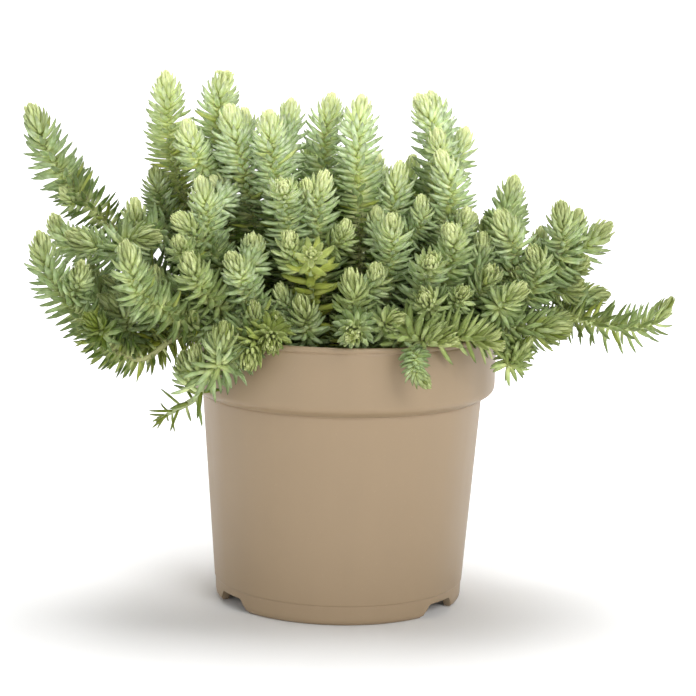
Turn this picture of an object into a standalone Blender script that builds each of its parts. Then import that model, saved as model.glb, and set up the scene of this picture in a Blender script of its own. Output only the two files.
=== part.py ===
"""A potted blue stonecrop: a nursery pot with a foot ring, its soil, and leafy stems standing in it.

The frame is +Z up with the origin on the pot's axis, on the surface that the pot stands on.
The front of the plant faces -Y. Sizes below are in millimetres and are scaled to metres as they
enter a mesh.
"""

import math
import random

import bmesh
import bpy
import numpy as np
from mathutils import Vector
from mathutils.bvhtree import BVHTree

MM = 0.001

# Pot, injection moulded in one piece
RIM_RADIUS = 95.0
RIM_TOP = 172.0
LIP_HEIGHT = 3.6
LIP_STEP = 0.8
BAND_FOOT = 139.0
BAND_SHOULDER = 134.5
CREASE_HEIGHT = 129.5
CREASE_RADIUS = 87.0
LEDGE_HEIGHT = 12.5
LEDGE_STEP = 0.5
FOOT_RADIUS = 76.6
FOOT_EDGE = 3.5
WALL = 1.5
FOOT_WALL = 5.0
FLOOR_UNDERSIDE = 9.5
FLOOR = 2.0
POT_SEGMENTS = 40
NOTCH_AZIMUTHS = (-58.0, 55.0, 180.0)
NOTCH_HEIGHT = 8.0
NOTCH_FOOT_WIDTH = 35.0
NOTCH_TOP_WIDTH = 20.0
NOTCH_CUT = 9.0
DRAIN_RADIUS = 5.0
DRAIN_DISTANCE = 52.0
DRAIN_SIDES = 8

# Soil
SOIL_TOP = 160.0
SOIL_GAP = 0.35
SOIL_SEGMENTS = 32
HOLE_RADIUS = 3.1
HOLE_SIDES = 4
HOLE_FLOOR = 145.0
HOLE_ROOM = 0.5

# Stems and leaves
ROOT_DEPTH = HOLE_FLOOR + 0.4
ROOT_LIMIT = 78.0
ROOT_SPACING = 8.0
STEM_RADIUS = 1.6
BUD_RADIUS = 2.3
LEAF_STEP = 6.8
BARE_STEP = 13.0
BUD_LENGTH = 9.0
LEAF_LENGTH = 13.0
YOUNG_LEAF_LENGTH = 8.5
YOUNG_ZONE = 24.0
# A leaf's angle from its stem in degrees: at the tip, at the end of the young zone, and how much
# more it spreads below that
BUD_SPREAD = 12.0
GROWN_SPREAD = 64.0
LATE_SPREAD = 22.0
LATE_SPREAD_PER_MM = 0.8
LEAST_SPREAD = 10.0
MOST_SPREAD = 88.0
LEAF_ROOT_RADIUS = 2.2
LEAF_START = 1.2
LEAF_NECK = 4.5
LEAF_NECK_RADIUS = 0.9
LEAF_TIP_RADIUS = 0.1
OWN_LEAF_TO_LEAF = 0.15
# How far a leaf folds up from its natural angle, in degrees, and its share of its full length,
# in the order in which they are tried until the leaf is clear of the others
LEAF_TRIES = ((0, 1.0), (-14, 1.0), (12, 1.0), (-26, 0.9), (0, 0.75), (-20, 0.7), (0, 0.55),
              (-24, 0.5))
LEAF_TO_LEAF = 0.35
CORE_TO_CORE = 1.2
CORE_TO_POT = 2.9
LEAF_ROOT_TO_POT = 2.6
LEAF_TIP_TO_POT = 1.2
BRANCH_TO_POT = 4.0
BRANCH_NECK = 5.0
BRANCH_REACH = 9.0
NECK_CLEARANCE = 0.6
LEAST_ABOVE_BRANCH = 12.0
# How a branch's start is chosen: the way to its shoot in millimetres costs, and it gains where its
# triangle faces the shoot and where the way climbs
COST_OF_WAY = 0.02
GAIN_OF_FACING = 1.4
GAIN_OF_CLIMB = 0.7
# How long the leafy part of a shoot is at most, how long the bare part below it is at least, and
# how far it runs straight from its start
ROOTED = (80.0, 24.0, SOIL_TOP + 3.0 - ROOT_DEPTH)
SIDE = (44.0, BRANCH_NECK, BRANCH_NECK)
ROOT_TRIES = 40
ORDER_TRIES = 30
RING_TURN = 17.0
# A stem leans in towards the axis on its way down: it stands at this share of its shoot's
# distance from the axis, and at a larger one the further out the shoot is
NEAREST_SHARE = 0.5
SHARE_PER_MM = 1.0 / 240.0
RIM_CROSSING = 91.0
CROSSING_HEIGHTS = (178.5, 183.0, 189.0)
LONGEST_STRAIGHT = 22.0
DETOURS = (6.0, -6.0, 11.0, -11.0)
SEED = 11

# The leafy stems that the front shows. Each stem is a list of shoots. The first shoot stands in
# the soil and the others branch off it. A shoot is its points in millimetres, from where it
# comes clear of the leaves around it to its tip.
FRONT_STEMS = (
    # left side, from the outermost shoots inwards
    [[(-154, 8, 237), (-171, 12, 253), (-188, 14, 278), (-198, 15, 303)],
     [(-170, 2, 245), (-177, 0, 253)]],
    [[(-101, -62, 170), (-119, -66, 158), (-138, -68, 165), (-151, -68, 178), (-162, -66, 190),
      (-174, -60, 205), (-182, -55, 232)],
     [(-156, -74, 202), (-153, -80, 218)],
     [(-141, -80, 176), (-150, -90, 188)]],
    [[(-118, -32, 205), (-143, -38, 218), (-167, -45, 230)],
     [(-172, -15, 222), (-180, -12, 238)],
     [(-131, -52, 226), (-109, -60, 231)]],
    [[(-114, -5, 244), (-118, -5, 268)],
     [(-126, -32, 234), (-126, -40, 251)],
     [(-107, 4, 201), (-113, 8, 218)]],
    [[(-97, -78, 186), (-106, -85, 192), (-119, -92, 202), (-126, -98, 232)]],
    [[(-96, -40, 172), (-122, -42, 160), (-141, -36, 162), (-165, -26, 182)],
     [(-129, -52, 177), (-147, -50, 194)],
     [(-118, -34, 184), (-133, -30, 193), (-146, -26, 203)],
     [(-149, -26, 186), (-156, -18, 208)]],
    [[(-85, -80, 206), (-91, -93, 225)],
     [(-109, -58, 199), (-112, -63, 214)],
     [(-86, -72, 178), (-88, -84, 190)]],
    [[(-90, -52, 232), (-101, -63, 244)],
     [(-95, -66, 222), (-97, -78, 233)]],
    [[(-81, -46, 227), (-82, -48, 239), (-87, -50, 266)],
     [(-73, -24, 255), (-82, -27, 264)]],
    [[(-71, -100, 161), (-69, -104, 174), (-68, -106, 187)],
     [(-82, -91, 152), (-84, -93, 162), (-85, -95, 172)],
     [(-84, -84, 140), (-101, -76, 128), (-111, -68, 121)],
     [(-89, -84, 150), (-93, -87, 167)]],
    # tall shoots along the top, from left to right
    [[(-108, 4, 272), (-110, 2, 293), (-112, 0, 326)],
     [(-107, 14, 240), (-106, 24, 262)]],
    [[(-80, 6, 300), (-76, 5, 328)],
     [(-91, -18, 274), (-98, -25, 298)]],
    [[(-62, -20, 267), (-67, -22, 284), (-72, -25, 307)],
     [(-62, -8, 289), (-64, -10, 305)]],
    [[(-44, -30, 268), (-46, -32, 285), (-47, -35, 305)],
     [(-37, 2, 288), (-35, 2, 311)]],
    [[(-36, -50, 250), (-37, -70, 266)],
     [(-24, -43, 250), (-24, -53, 266)]],
    [[(-14, 0, 283), (-10, 0, 315)],
     [(-22, 22, 262), (-24, 28, 284)],
     [(8, 22, 256), (12, 28, 278)]],
    [[(8, -32, 249), (6, -28, 286), (8, -20, 315)],
     [(16, -12, 263), (18, -10, 280)]],
    [[(-17, -45, 251), (-12, -52, 271)],
     [(-4, -50, 228), (1, -60, 243)]],
    [[(29, -24, 252), (32, -25, 276)],
     [(45, -34, 238), (45, -38, 257)]],
    [[(54, -8, 285), (42, -8, 316)],
     [(58, 12, 293), (50, 14, 317)],
     [(56, -21, 282), (53, -27, 296)],
     [(67, 2, 276), (73, 3, 296)]],
    [[(63, -34, 251), (62, -36, 263), (55, -38, 284)],
     [(70, -42, 240), (72, -50, 251)]],
    # middle, facing the front
    [[(-20, -72, 217), (-19, -94, 227)],
     [(-31, -70, 222), (-32, -83, 238)]],
    [[(-60, -79, 209), (-67, -90, 226)],
     [(-54, -63, 220), (-54, -71, 235)]],
    [[(28, -58, 230), (27, -68, 248)],
     [(19, -38, 236), (18, -42, 250)]],
    [[(64, -58, 226), (60, -71, 243)]],
    [[(49, -70, 212), (50, -90, 226)],
     [(64, -76, 197), (70, -92, 208)]],
    [[(50, -80, 192), (46, -101, 206)],
     [(24, -86, 185), (36, -98, 191)]],
    [[(84, -60, 207), (86, -70, 219)],
     [(82, -41, 220), (82, -45, 236)]],
    # low, along the front of the rim
    [[(6, -77, 198), (3, -84, 217)],
     [(18, -71, 205), (18, -80, 220)],
     [(7, -95, 183), (5, -114, 181)]],
    [[(-22, -78, 185), (-26, -86, 201)],
     [(-35, -67, 194), (-38, -74, 206)],
     [(-37, -76, 181), (-40, -84, 191)]],
    [[(-52, -76, 182), (-53, -84, 197)],
     [(-42, -94, 178), (-41, -110, 173)],
     [(-53, -95, 172), (-54, -112, 162)]],
    [[(44, -92, 177), (54, -98, 176), (66, -99, 176)],
     [(72, -86, 178), (93, -86, 172)],
     [(42, -101, 168), (42, -105, 161), (51, -107, 152)]],
    # right side, from the middle outwards
    [[(102, -42, 217), (99, -46, 231), (90, -50, 250)],
     [(99, -14, 249), (103, -12, 268)],
     [(90, -8, 224), (87, -5, 243)]],
    [[(111, -46, 200), (115, -50, 218), (109, -58, 229)],
     [(106, -44, 206), (103, -50, 216)],
     [(92, -72, 195), (106, -80, 210)]],
    [[(132, -28, 220), (131, -32, 232), (129, -35, 255)],
     [(138, -20, 235), (142, -20, 249)],
     [(121, 2, 220), (121, 6, 235)]],
    [[(130, -8, 212), (149, -10, 226), (163, -8, 240)],
     [(142, -20, 213), (147, -24, 221)],
     [(138, -18, 199), (145, -24, 206)]],
    [[(112, -10, 178), (140, -12, 180), (159, -8, 176), (180, -6, 174), (196, -5, 181),
      (203, -4, 194)],
     [(144, 6, 190), (166, 10, 193)]],
    [[(90, -58, 181), (111, -59, 180), (135, -60, 180)],
     [(98, -74, 160), (105, -71, 167), (111, -67, 177)],
     [(126, -42, 182), (140, -42, 185)]],
)

# The stems of the back, which follow one rule: they stand on rings round the axis, lean outwards
# the more the further out they are, and carry side shoots to their left and right.
BACK_RINGS = (
    # (number, first azimuth, last azimuth, tip radius, tip height, lean in degrees, side shoots)
    (5, 28.0, 152.0, 46.0, 270.0, 10.0, 2),
    (7, 16.0, 164.0, 86.0, 244.0, 22.0, 2),
    (7, 10.0, 170.0, 106.0, 213.0, 34.0, 2),
)
BACK_SHOOT_LENGTH = 34.0
SIDE_SHOOT_LENGTH = 20.0
SIDE_SPREAD = 21.0
SIDE_DROP = (6.0, 26.0)
SIDE_TURN = 0.35


def polar(radius, azimuth, height):
    """A point at a radius from the pot's axis and an azimuth in degrees from +X towards +Y."""
    angle = math.radians(azimuth)
    return np.array([radius * math.cos(angle), radius * math.sin(angle), height])


def unit(v):
    return v / max(np.linalg.norm(v), 1e-9)


def square_to(v, tangent):
    """The unit vector square to the tangent on the side that v points to."""
    return unit(v - tangent * (v @ tangent))


def new_object(name, points, faces, material):
    """A mesh object from points in millimetres. Its faces run anticlockwise seen from outside."""
    mesh = bpy.data.meshes.new(name)
    mesh.from_pydata([tuple(float(c) * MM for c in p) for p in points], [], faces)
    mesh.materials.append(material)
    mesh.update()
    thing = bpy.data.objects.new(name, mesh)
    bpy.context.scene.collection.objects.link(thing)
    return thing


def new_material(name, colour, roughness):
    material = bpy.data.materials.new(name)
    material.use_nodes = True
    shader = material.node_tree.nodes["Principled BSDF"]
    shader.inputs["Base Color"].default_value = (*colour, 1.0)
    shader.inputs["Roughness"].default_value = roughness
    shader.inputs["Metallic"].default_value = 0.0
    return material


def spin_profile(name, profile, segments, material):
    """A closed turned body: the profile of (radius, height) points starts and ends on the axis."""
    body = bmesh.new()
    ring = [body.verts.new((radius * MM, 0.0, height * MM)) for radius, height in profile]
    edges = [body.edges.new(pair) for pair in zip(ring, ring[1:])]
    bmesh.ops.spin(body, geom=ring + edges, cent=(0, 0, 0), axis=(0, 0, 1),
                   angle=math.tau, steps=segments, use_merge=True)
    bmesh.ops.remove_doubles(body, verts=body.verts, dist=0.02 * MM)
    bmesh.ops.recalc_face_normals(body, faces=body.faces)
    mesh = bpy.data.meshes.new(name)
    body.to_mesh(mesh)
    body.free()
    mesh.shade_smooth()
    mesh.set_sharp_from_angle(angle=math.radians(30.0))
    mesh.materials.append(material)
    thing = bpy.data.objects.new(name, mesh)
    bpy.context.scene.collection.objects.link(thing)
    return thing


def cut(thing, cutter):
    """Takes the cutter's shape out of a body, and keeps the cutter as a hidden guide."""
    cutter.hide_render = True
    cutter.display_type = "WIRE"
    modifier = thing.modifiers.new("Cut_" + cutter.name, "BOOLEAN")
    modifier.operation = "DIFFERENCE"
    modifier.solver = "EXACT"
    modifier.object = cutter


def prism(points, faces, base, top):
    """Adds a closed prism between two loops of the same length, given anticlockwise from above."""
    start, count = len(points), len(base)
    points += list(base) + list(top)
    faces.append(tuple(start + i for i in reversed(range(count))))
    faces.append(tuple(start + count + i for i in range(count)))
    for i in range(count):
        j = (i + 1) % count
        faces.append((start + i, start + j, start + count + j, start + count + i))


def body_radius(height):
    """The pot's outer radius on the straight part of its body, between the ledge and the crease."""
    low, high = FOOT_RADIUS + 1.5, CREASE_RADIUS
    return low + (high - low) * (height - LEDGE_HEIGHT) / (CREASE_HEIGHT - LEDGE_HEIGHT)


def make_pot(material):
    """The wall is the outer profile and the same profile set in by the wall's thickness."""
    band = RIM_TOP - LIP_HEIGHT
    lip = RIM_RADIUS + LIP_STEP
    outer = [
        (0.0, FLOOR_UNDERSIDE),
        (FOOT_RADIUS - FOOT_WALL, FLOOR_UNDERSIDE),
        (FOOT_RADIUS - FOOT_WALL, 0.0),
        (FOOT_RADIUS - FOOT_WALL / 2.0, 0.0),
        (FOOT_RADIUS - 0.4, FOOT_EDGE * 0.35),
        (FOOT_RADIUS + 0.7, FOOT_EDGE),
        (body_radius(LEDGE_HEIGHT) - LEDGE_STEP, LEDGE_HEIGHT),
        (body_radius(LEDGE_HEIGHT + 0.4), LEDGE_HEIGHT + 0.4),
        (CREASE_RADIUS, CREASE_HEIGHT),
        (RIM_RADIUS - 3.2, CREASE_HEIGHT + 2.3),
        (RIM_RADIUS - 0.6, BAND_SHOULDER + 0.4),
        (RIM_RADIUS, BAND_FOOT),
        (RIM_RADIUS, band - 0.5),
        (lip, band),
        (lip, RIM_TOP),
    ]
    inner = [
        (RIM_RADIUS - WALL, RIM_TOP),
        (RIM_RADIUS - WALL, BAND_FOOT),
        (CREASE_RADIUS - WALL, CREASE_HEIGHT),
        (body_radius(LEDGE_HEIGHT) - WALL, FLOOR_UNDERSIDE + FLOOR),
        (0.0, FLOOR_UNDERSIDE + FLOOR),
    ]
    pot = spin_profile("pot", outer + inner, POT_SEGMENTS, material)

    points, faces = [], []
    for azimuth in NOTCH_AZIMUTHS:
        across, out = polar(1, azimuth, 0), polar(1, azimuth - 90.0, 0)
        near, far = out * (FOOT_RADIUS - NOTCH_CUT), out * (FOOT_RADIUS + NOTCH_CUT)
        loops = []
        for width, height in ((NOTCH_FOOT_WIDTH, -2.0), (NOTCH_TOP_WIDTH, NOTCH_HEIGHT)):
            half, up = across * width / 2, np.array([0.0, 0.0, height])
            loops.append([near - half + up, far - half + up, far + half + up, near + half + up])
        prism(points, faces, *loops)
    cut(pot, new_object("notch_cutters", points, faces, material))

    points, faces = [], []
    for azimuth in (a + 180.0 for a in NOTCH_AZIMUTHS):
        centre = polar(DRAIN_DISTANCE, azimuth - 90.0, 0)
        loops = [[centre + polar(DRAIN_RADIUS, 360.0 * i / DRAIN_SIDES, height)
                  for i in range(DRAIN_SIDES)]
                 for height in (FLOOR_UNDERSIDE - 3.0, FLOOR_UNDERSIDE + FLOOR + 3.0)]
        prism(points, faces, *loops)
    cut(pot, new_object("drain_cutters", points, faces, material))


def make_soil(material, roots):
    """The soil fills the pot up to below the rim. Each stem stands in a plain hole in it."""
    floor = FLOOR_UNDERSIDE + FLOOR + SOIL_GAP
    set_in = WALL + SOIL_GAP * 1.5
    profile = [
        (0.0, floor),
        (body_radius(floor + 3.0) - set_in, floor),
        (CREASE_RADIUS - set_in, CREASE_HEIGHT),
        (RIM_RADIUS - set_in, BAND_FOOT + 0.6),
        (RIM_RADIUS - set_in, SOIL_TOP),
        (0.0, SOIL_TOP),
    ]
    soil = spin_profile("soil", profile, SOIL_SEGMENTS, material)
    points, faces = [], []
    for x, y in roots:
        loops = [[np.array([x, y, 0.0]) + polar(HOLE_RADIUS, 360.0 * i / HOLE_SIDES, height)
                  for i in range(HOLE_SIDES)] for height in (HOLE_FLOOR, SOIL_TOP + 4.0)]
        prism(points, faces, *loops)
    cut(soil, new_object("hole_cutters", points, faces, material))


def smooth_path(controls, spacing=1.0):
    """A centripetal Catmull-Rom curve through the points, sampled about every millimetre."""
    p = np.array(controls, float)
    p = np.vstack([2 * p[0] - p[1], p, 2 * p[-1] - p[-2]])
    found = []
    for a, b, c, d in zip(p, p[1:], p[2:], p[3:]):
        ta = 0.0
        tb = ta + math.sqrt(np.linalg.norm(b - a))
        tc = tb + math.sqrt(np.linalg.norm(c - b))
        td = tc + math.sqrt(np.linalg.norm(d - c))
        count = max(2, int(np.linalg.norm(c - b) / spacing))
        t = np.linspace(tb, tc, count, endpoint=False)[:, None]
        ab = (tb - t) / (tb - ta) * a + (t - ta) / (tb - ta) * b
        bc = (tc - t) / (tc - tb) * b + (t - tb) / (tc - tb) * c
        cd = (td - t) / (td - tc) * c + (t - tc) / (td - tc) * d
        abc = (tc - t) / (tc - ta) * ab + (t - ta) / (tc - ta) * bc
        bcd = (td - t) / (td - tb) * bc + (t - tb) / (td - tb) * cd
        found.append((tc - t) / (tc - tb) * abc + (t - tb) / (tc - tb) * bcd)
    return np.vstack(found + [p[-2:-1]])


def back_stems():
    """The back's stems as lists of shoots, in the form of FRONT_STEMS."""
    draw = random.Random(SEED)
    stems = []
    for number, first, last, radius, height, lean, sides in BACK_RINGS:
        for i in range(number):
            azimuth = first + (last - first) * i / (number - 1) + draw.uniform(-4.0, 4.0)
            tip = polar(radius + draw.uniform(-5, 5), azimuth, height + draw.uniform(-8, 8))
            out = math.tan(math.radians(lean))
            heading = unit(polar(out, azimuth + draw.uniform(-14, 14), 1.0))
            waist = tip - heading * BACK_SHOOT_LENGTH
            shoots = [[waist, tip]]
            across = polar(1.0, azimuth + 90.0, 0.0)
            for side in range(sides):
                sign = 1.0 if (side + i) % 2 else -1.0
                turned = unit(heading + sign * SIDE_TURN * across)
                offset = across * sign * (SIDE_SPREAD + draw.uniform(-2, 2))
                drop = SIDE_DROP[side] + draw.uniform(-2, 2)
                end = tip + offset + polar(drop * SIDE_TURN, azimuth, -drop)
                shoots.append([end - turned * SIDE_SHOOT_LENGTH, end])
            stems.append(shoots)
    return stems


def inside_pot(points, margin):
    """Whether any of these points comes within the margin of the pot's wall or the soil."""
    r = np.hypot(points[:, 0], points[:, 1])
    z = points[:, 2]
    in_band = (z < RIM_TOP + margin) & (z > CREASE_HEIGHT - margin) \
        & (r < RIM_RADIUS + LIP_STEP + margin) & (r > CREASE_RADIUS - WALL - margin)
    in_rim = in_band & ((r > RIM_RADIUS - WALL - margin) | (z < BAND_FOOT + 2.0))
    in_body = (z <= CREASE_HEIGHT) & (r < body_radius(z) + margin)
    in_soil = (z < SOIL_TOP + margin) & (r < RIM_RADIUS - WALL)
    return bool((in_rim | in_body | in_soil).any())


class Taken:
    """The space that stems and leaves already fill, as tapered rods from a point to a point."""

    def __init__(self):
        self.rows = np.zeros((0, 8))
        self.owners = np.zeros(0, int)

    def add(self, start, end, wide, narrow, owner):
        row = np.concatenate([start, end, [wide, narrow]])
        self.rows = np.vstack([self.rows, row])
        self.owners = np.append(self.owners, owner)

    def keep(self, count):
        """Forgets all but the first rods."""
        self.rows = self.rows[:count]
        self.owners = self.owners[:count]

    def free(self, start, end, wide, narrow, gap, skip=()):
        """Whether a tapered rod clears every rod whose owner isn't skipped, by the gap."""
        keep = ~np.isin(self.owners, list(skip))
        rows = self.rows[keep]
        if not len(rows):
            return True
        p, q = rows[:, :3], rows[:, 3:6]
        d1, d2 = end - start, q - p
        r = start - p
        a = d1 @ d1
        e = np.maximum((d2 * d2).sum(1), 1e-9)
        f = (d2 * r).sum(1)
        c = r @ d1
        b = d2 @ d1
        below = a * e - b * b
        s = np.where(below > 1e-9, np.clip((b * f - c * e) / np.maximum(below, 1e-9), 0, 1), 0.0)
        t = (b * s + f) / e
        outside = (t < 0) | (t > 1)
        t = np.clip(t, 0, 1)
        s = np.where(outside, np.clip((b * t - c) / max(a, 1e-9), 0, 1), s)
        apart = np.linalg.norm(start + s[:, None] * d1 - p - t[:, None] * d2, axis=1)
        needed = wide + (narrow - wide) * s + rows[:, 6] + (rows[:, 7] - rows[:, 6]) * t + gap
        return bool((apart > needed).all())


def plan_rings(path, leafy_length, least_bare, straight):
    """Where a stem's rings stand: far apart on its bare part and close where leaves grow.

    Gives the rings' centres, how far each lies from the tip, and the first leafy ring's number.
    """
    along = np.concatenate([[0.0], np.cumsum(np.linalg.norm(np.diff(path, axis=0), axis=1))])
    total = along[-1]
    bare = max(least_bare, total - leafy_length)
    bare_steps = math.ceil((bare - straight) / BARE_STEP)
    leafy = total - BUD_LENGTH * 0.55 - bare
    leafy_steps = max(2, round(leafy / LEAF_STEP))
    marks = np.concatenate([[0.0], np.linspace(straight, bare, bare_steps + 1),
                            bare + leafy * np.arange(1, leafy_steps + 1) / leafy_steps])
    spots = np.stack([np.interp(marks, along, path[:, i]) for i in range(3)], axis=1)
    return spots, total - marks, bare_steps + 2


def rods_of(spots, tip):
    """The rods that cover a stem's core, from ring to ring, and its bud."""
    ends = list(spots) + [tip]
    thick = [STEM_RADIUS] * (len(spots) - 2) + [BUD_RADIUS] * 2
    return [(p, q, radius, radius) for p, q, radius in zip(ends, ends[1:], thick)]


def ways_to(start, shoot):
    """Smooth paths from the start points through the shoot's points, straight or over the rim."""
    start, points = list(start), [tuple(q) for q in shoot]
    yield smooth_path(start + points)
    share = np.linspace(0.0, 1.0, 101)[:, None]
    line = np.array(start[-1][:2]) * (1.0 - share) + np.array(points[0][:2]) * share
    reach = np.hypot(line[:, 0], line[:, 1])
    if reach.min() < RIM_CROSSING < reach.max():
        x, y = line[np.argmin(abs(reach - RIM_CROSSING))]
        for height in CROSSING_HEIGHTS:
            yield smooth_path(start + [(x, y, height)] + points)
    last, first = np.array(start[-1]), np.array(points[0])
    run = first - last
    across = unit(np.array([-run[1], run[0], 0.01]))
    if np.linalg.norm(run) > LONGEST_STRAIGHT:
        for aside in DETOURS:
            middle = (last + first) / 2.0 + across * aside + np.array([0.0, 0.0, abs(aside) / 2])
            yield smooth_path(start + [tuple(middle)] + points)


def clear_way(start, shoot, kind, taken, owner):
    """The first way whose core clears the pot and all cores so far, or none.

    Near its own start a branch may touch its stem, so it is tested there against others only.
    """
    for path in ways_to(start, shoot):
        spots, _, _ = plan_rings(path, *kind)
        rods = rods_of(spots, path[-1])
        core = np.vstack([np.linspace(rod[0], rod[1], 9) for rod in rods])
        aside = np.hypot(*(core - start[0])[:, :2].T)
        in_hole = (kind is ROOTED) & (aside < HOLE_ROOM + np.maximum(core[:, 2] - SOIL_TOP, 0.0))
        if inside_pot(core[~in_hole], CORE_TO_POT):
            continue
        near = [rod for rod in rods if np.linalg.norm(rod[0] - start[0]) < BRANCH_REACH]
        far = rods[len(near):]
        if all(taken.free(*rod, CORE_TO_CORE, (owner,)) for rod in near) \
                and all(taken.free(*rod, NECK_CLEARANCE) for rod in near[1:]) \
                and all(taken.free(*rod, CORE_TO_CORE) for rod in far):
            for rod in rods:
                taken.add(*rod, owner)
            return path
    return None


def root_sites():
    """The places in the soil where a stem can stand, on rings round the pot's axis."""
    sites = [np.zeros(2)]
    for ring in range(1, int(ROOT_LIMIT / ROOT_SPACING) + 1):
        count = int(math.tau * ring)
        sites += [polar(ring * ROOT_SPACING, 360.0 * i / count + RING_TURN * ring, 0)[:2]
                  for i in range(count)]
    return np.array(sites)


def root_stem(shoot, sites, free, taken, owner):
    """The free site nearest to where the shoot comes down that has a clear way to it."""
    first = np.array(shoot[0], float)
    reach = math.hypot(first[0], first[1])
    share = min(1.0, NEAREST_SHARE + reach * SHARE_PER_MM)
    wanted = first[:2] * min(1.0, ROOT_LIMIT / max(reach, 1.0)) * share
    distance = np.where(free, np.linalg.norm(sites - wanted, axis=1), np.inf)
    for pick in np.argsort(distance)[:ROOT_TRIES]:
        x, y = sites[pick]
        foot = [(x, y, height) for height in (ROOT_DEPTH, SOIL_TOP - 4.0, SOIL_TOP + 3.0)]
        path = clear_way(foot, shoot, ROOTED, taken, owner)
        if path is not None:
            free[pick] = False
            return (x, y), path
    return None


def root_all(stems):
    """Roots the stems from the outermost inwards. One that finds no way goes before all others."""
    sites = root_sites()
    order = sorted(range(len(stems)), key=lambda k: -math.hypot(*stems[k][0][0][:2]))
    for _ in range(ORDER_TRIES):
        taken, free, found = Taken(), np.ones(len(sites), bool), {}
        for k in order:
            found[k] = root_stem(stems[k][0], sites, free, taken, k)
            if found[k] is None:
                order.remove(k)
                order.insert(0, k)
                break
        else:
            roots = [found[k][0] for k in range(len(stems))]
            return roots, [found[k][1] for k in range(len(stems))], taken
    raise ValueError("the stems can't all be rooted")


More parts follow.
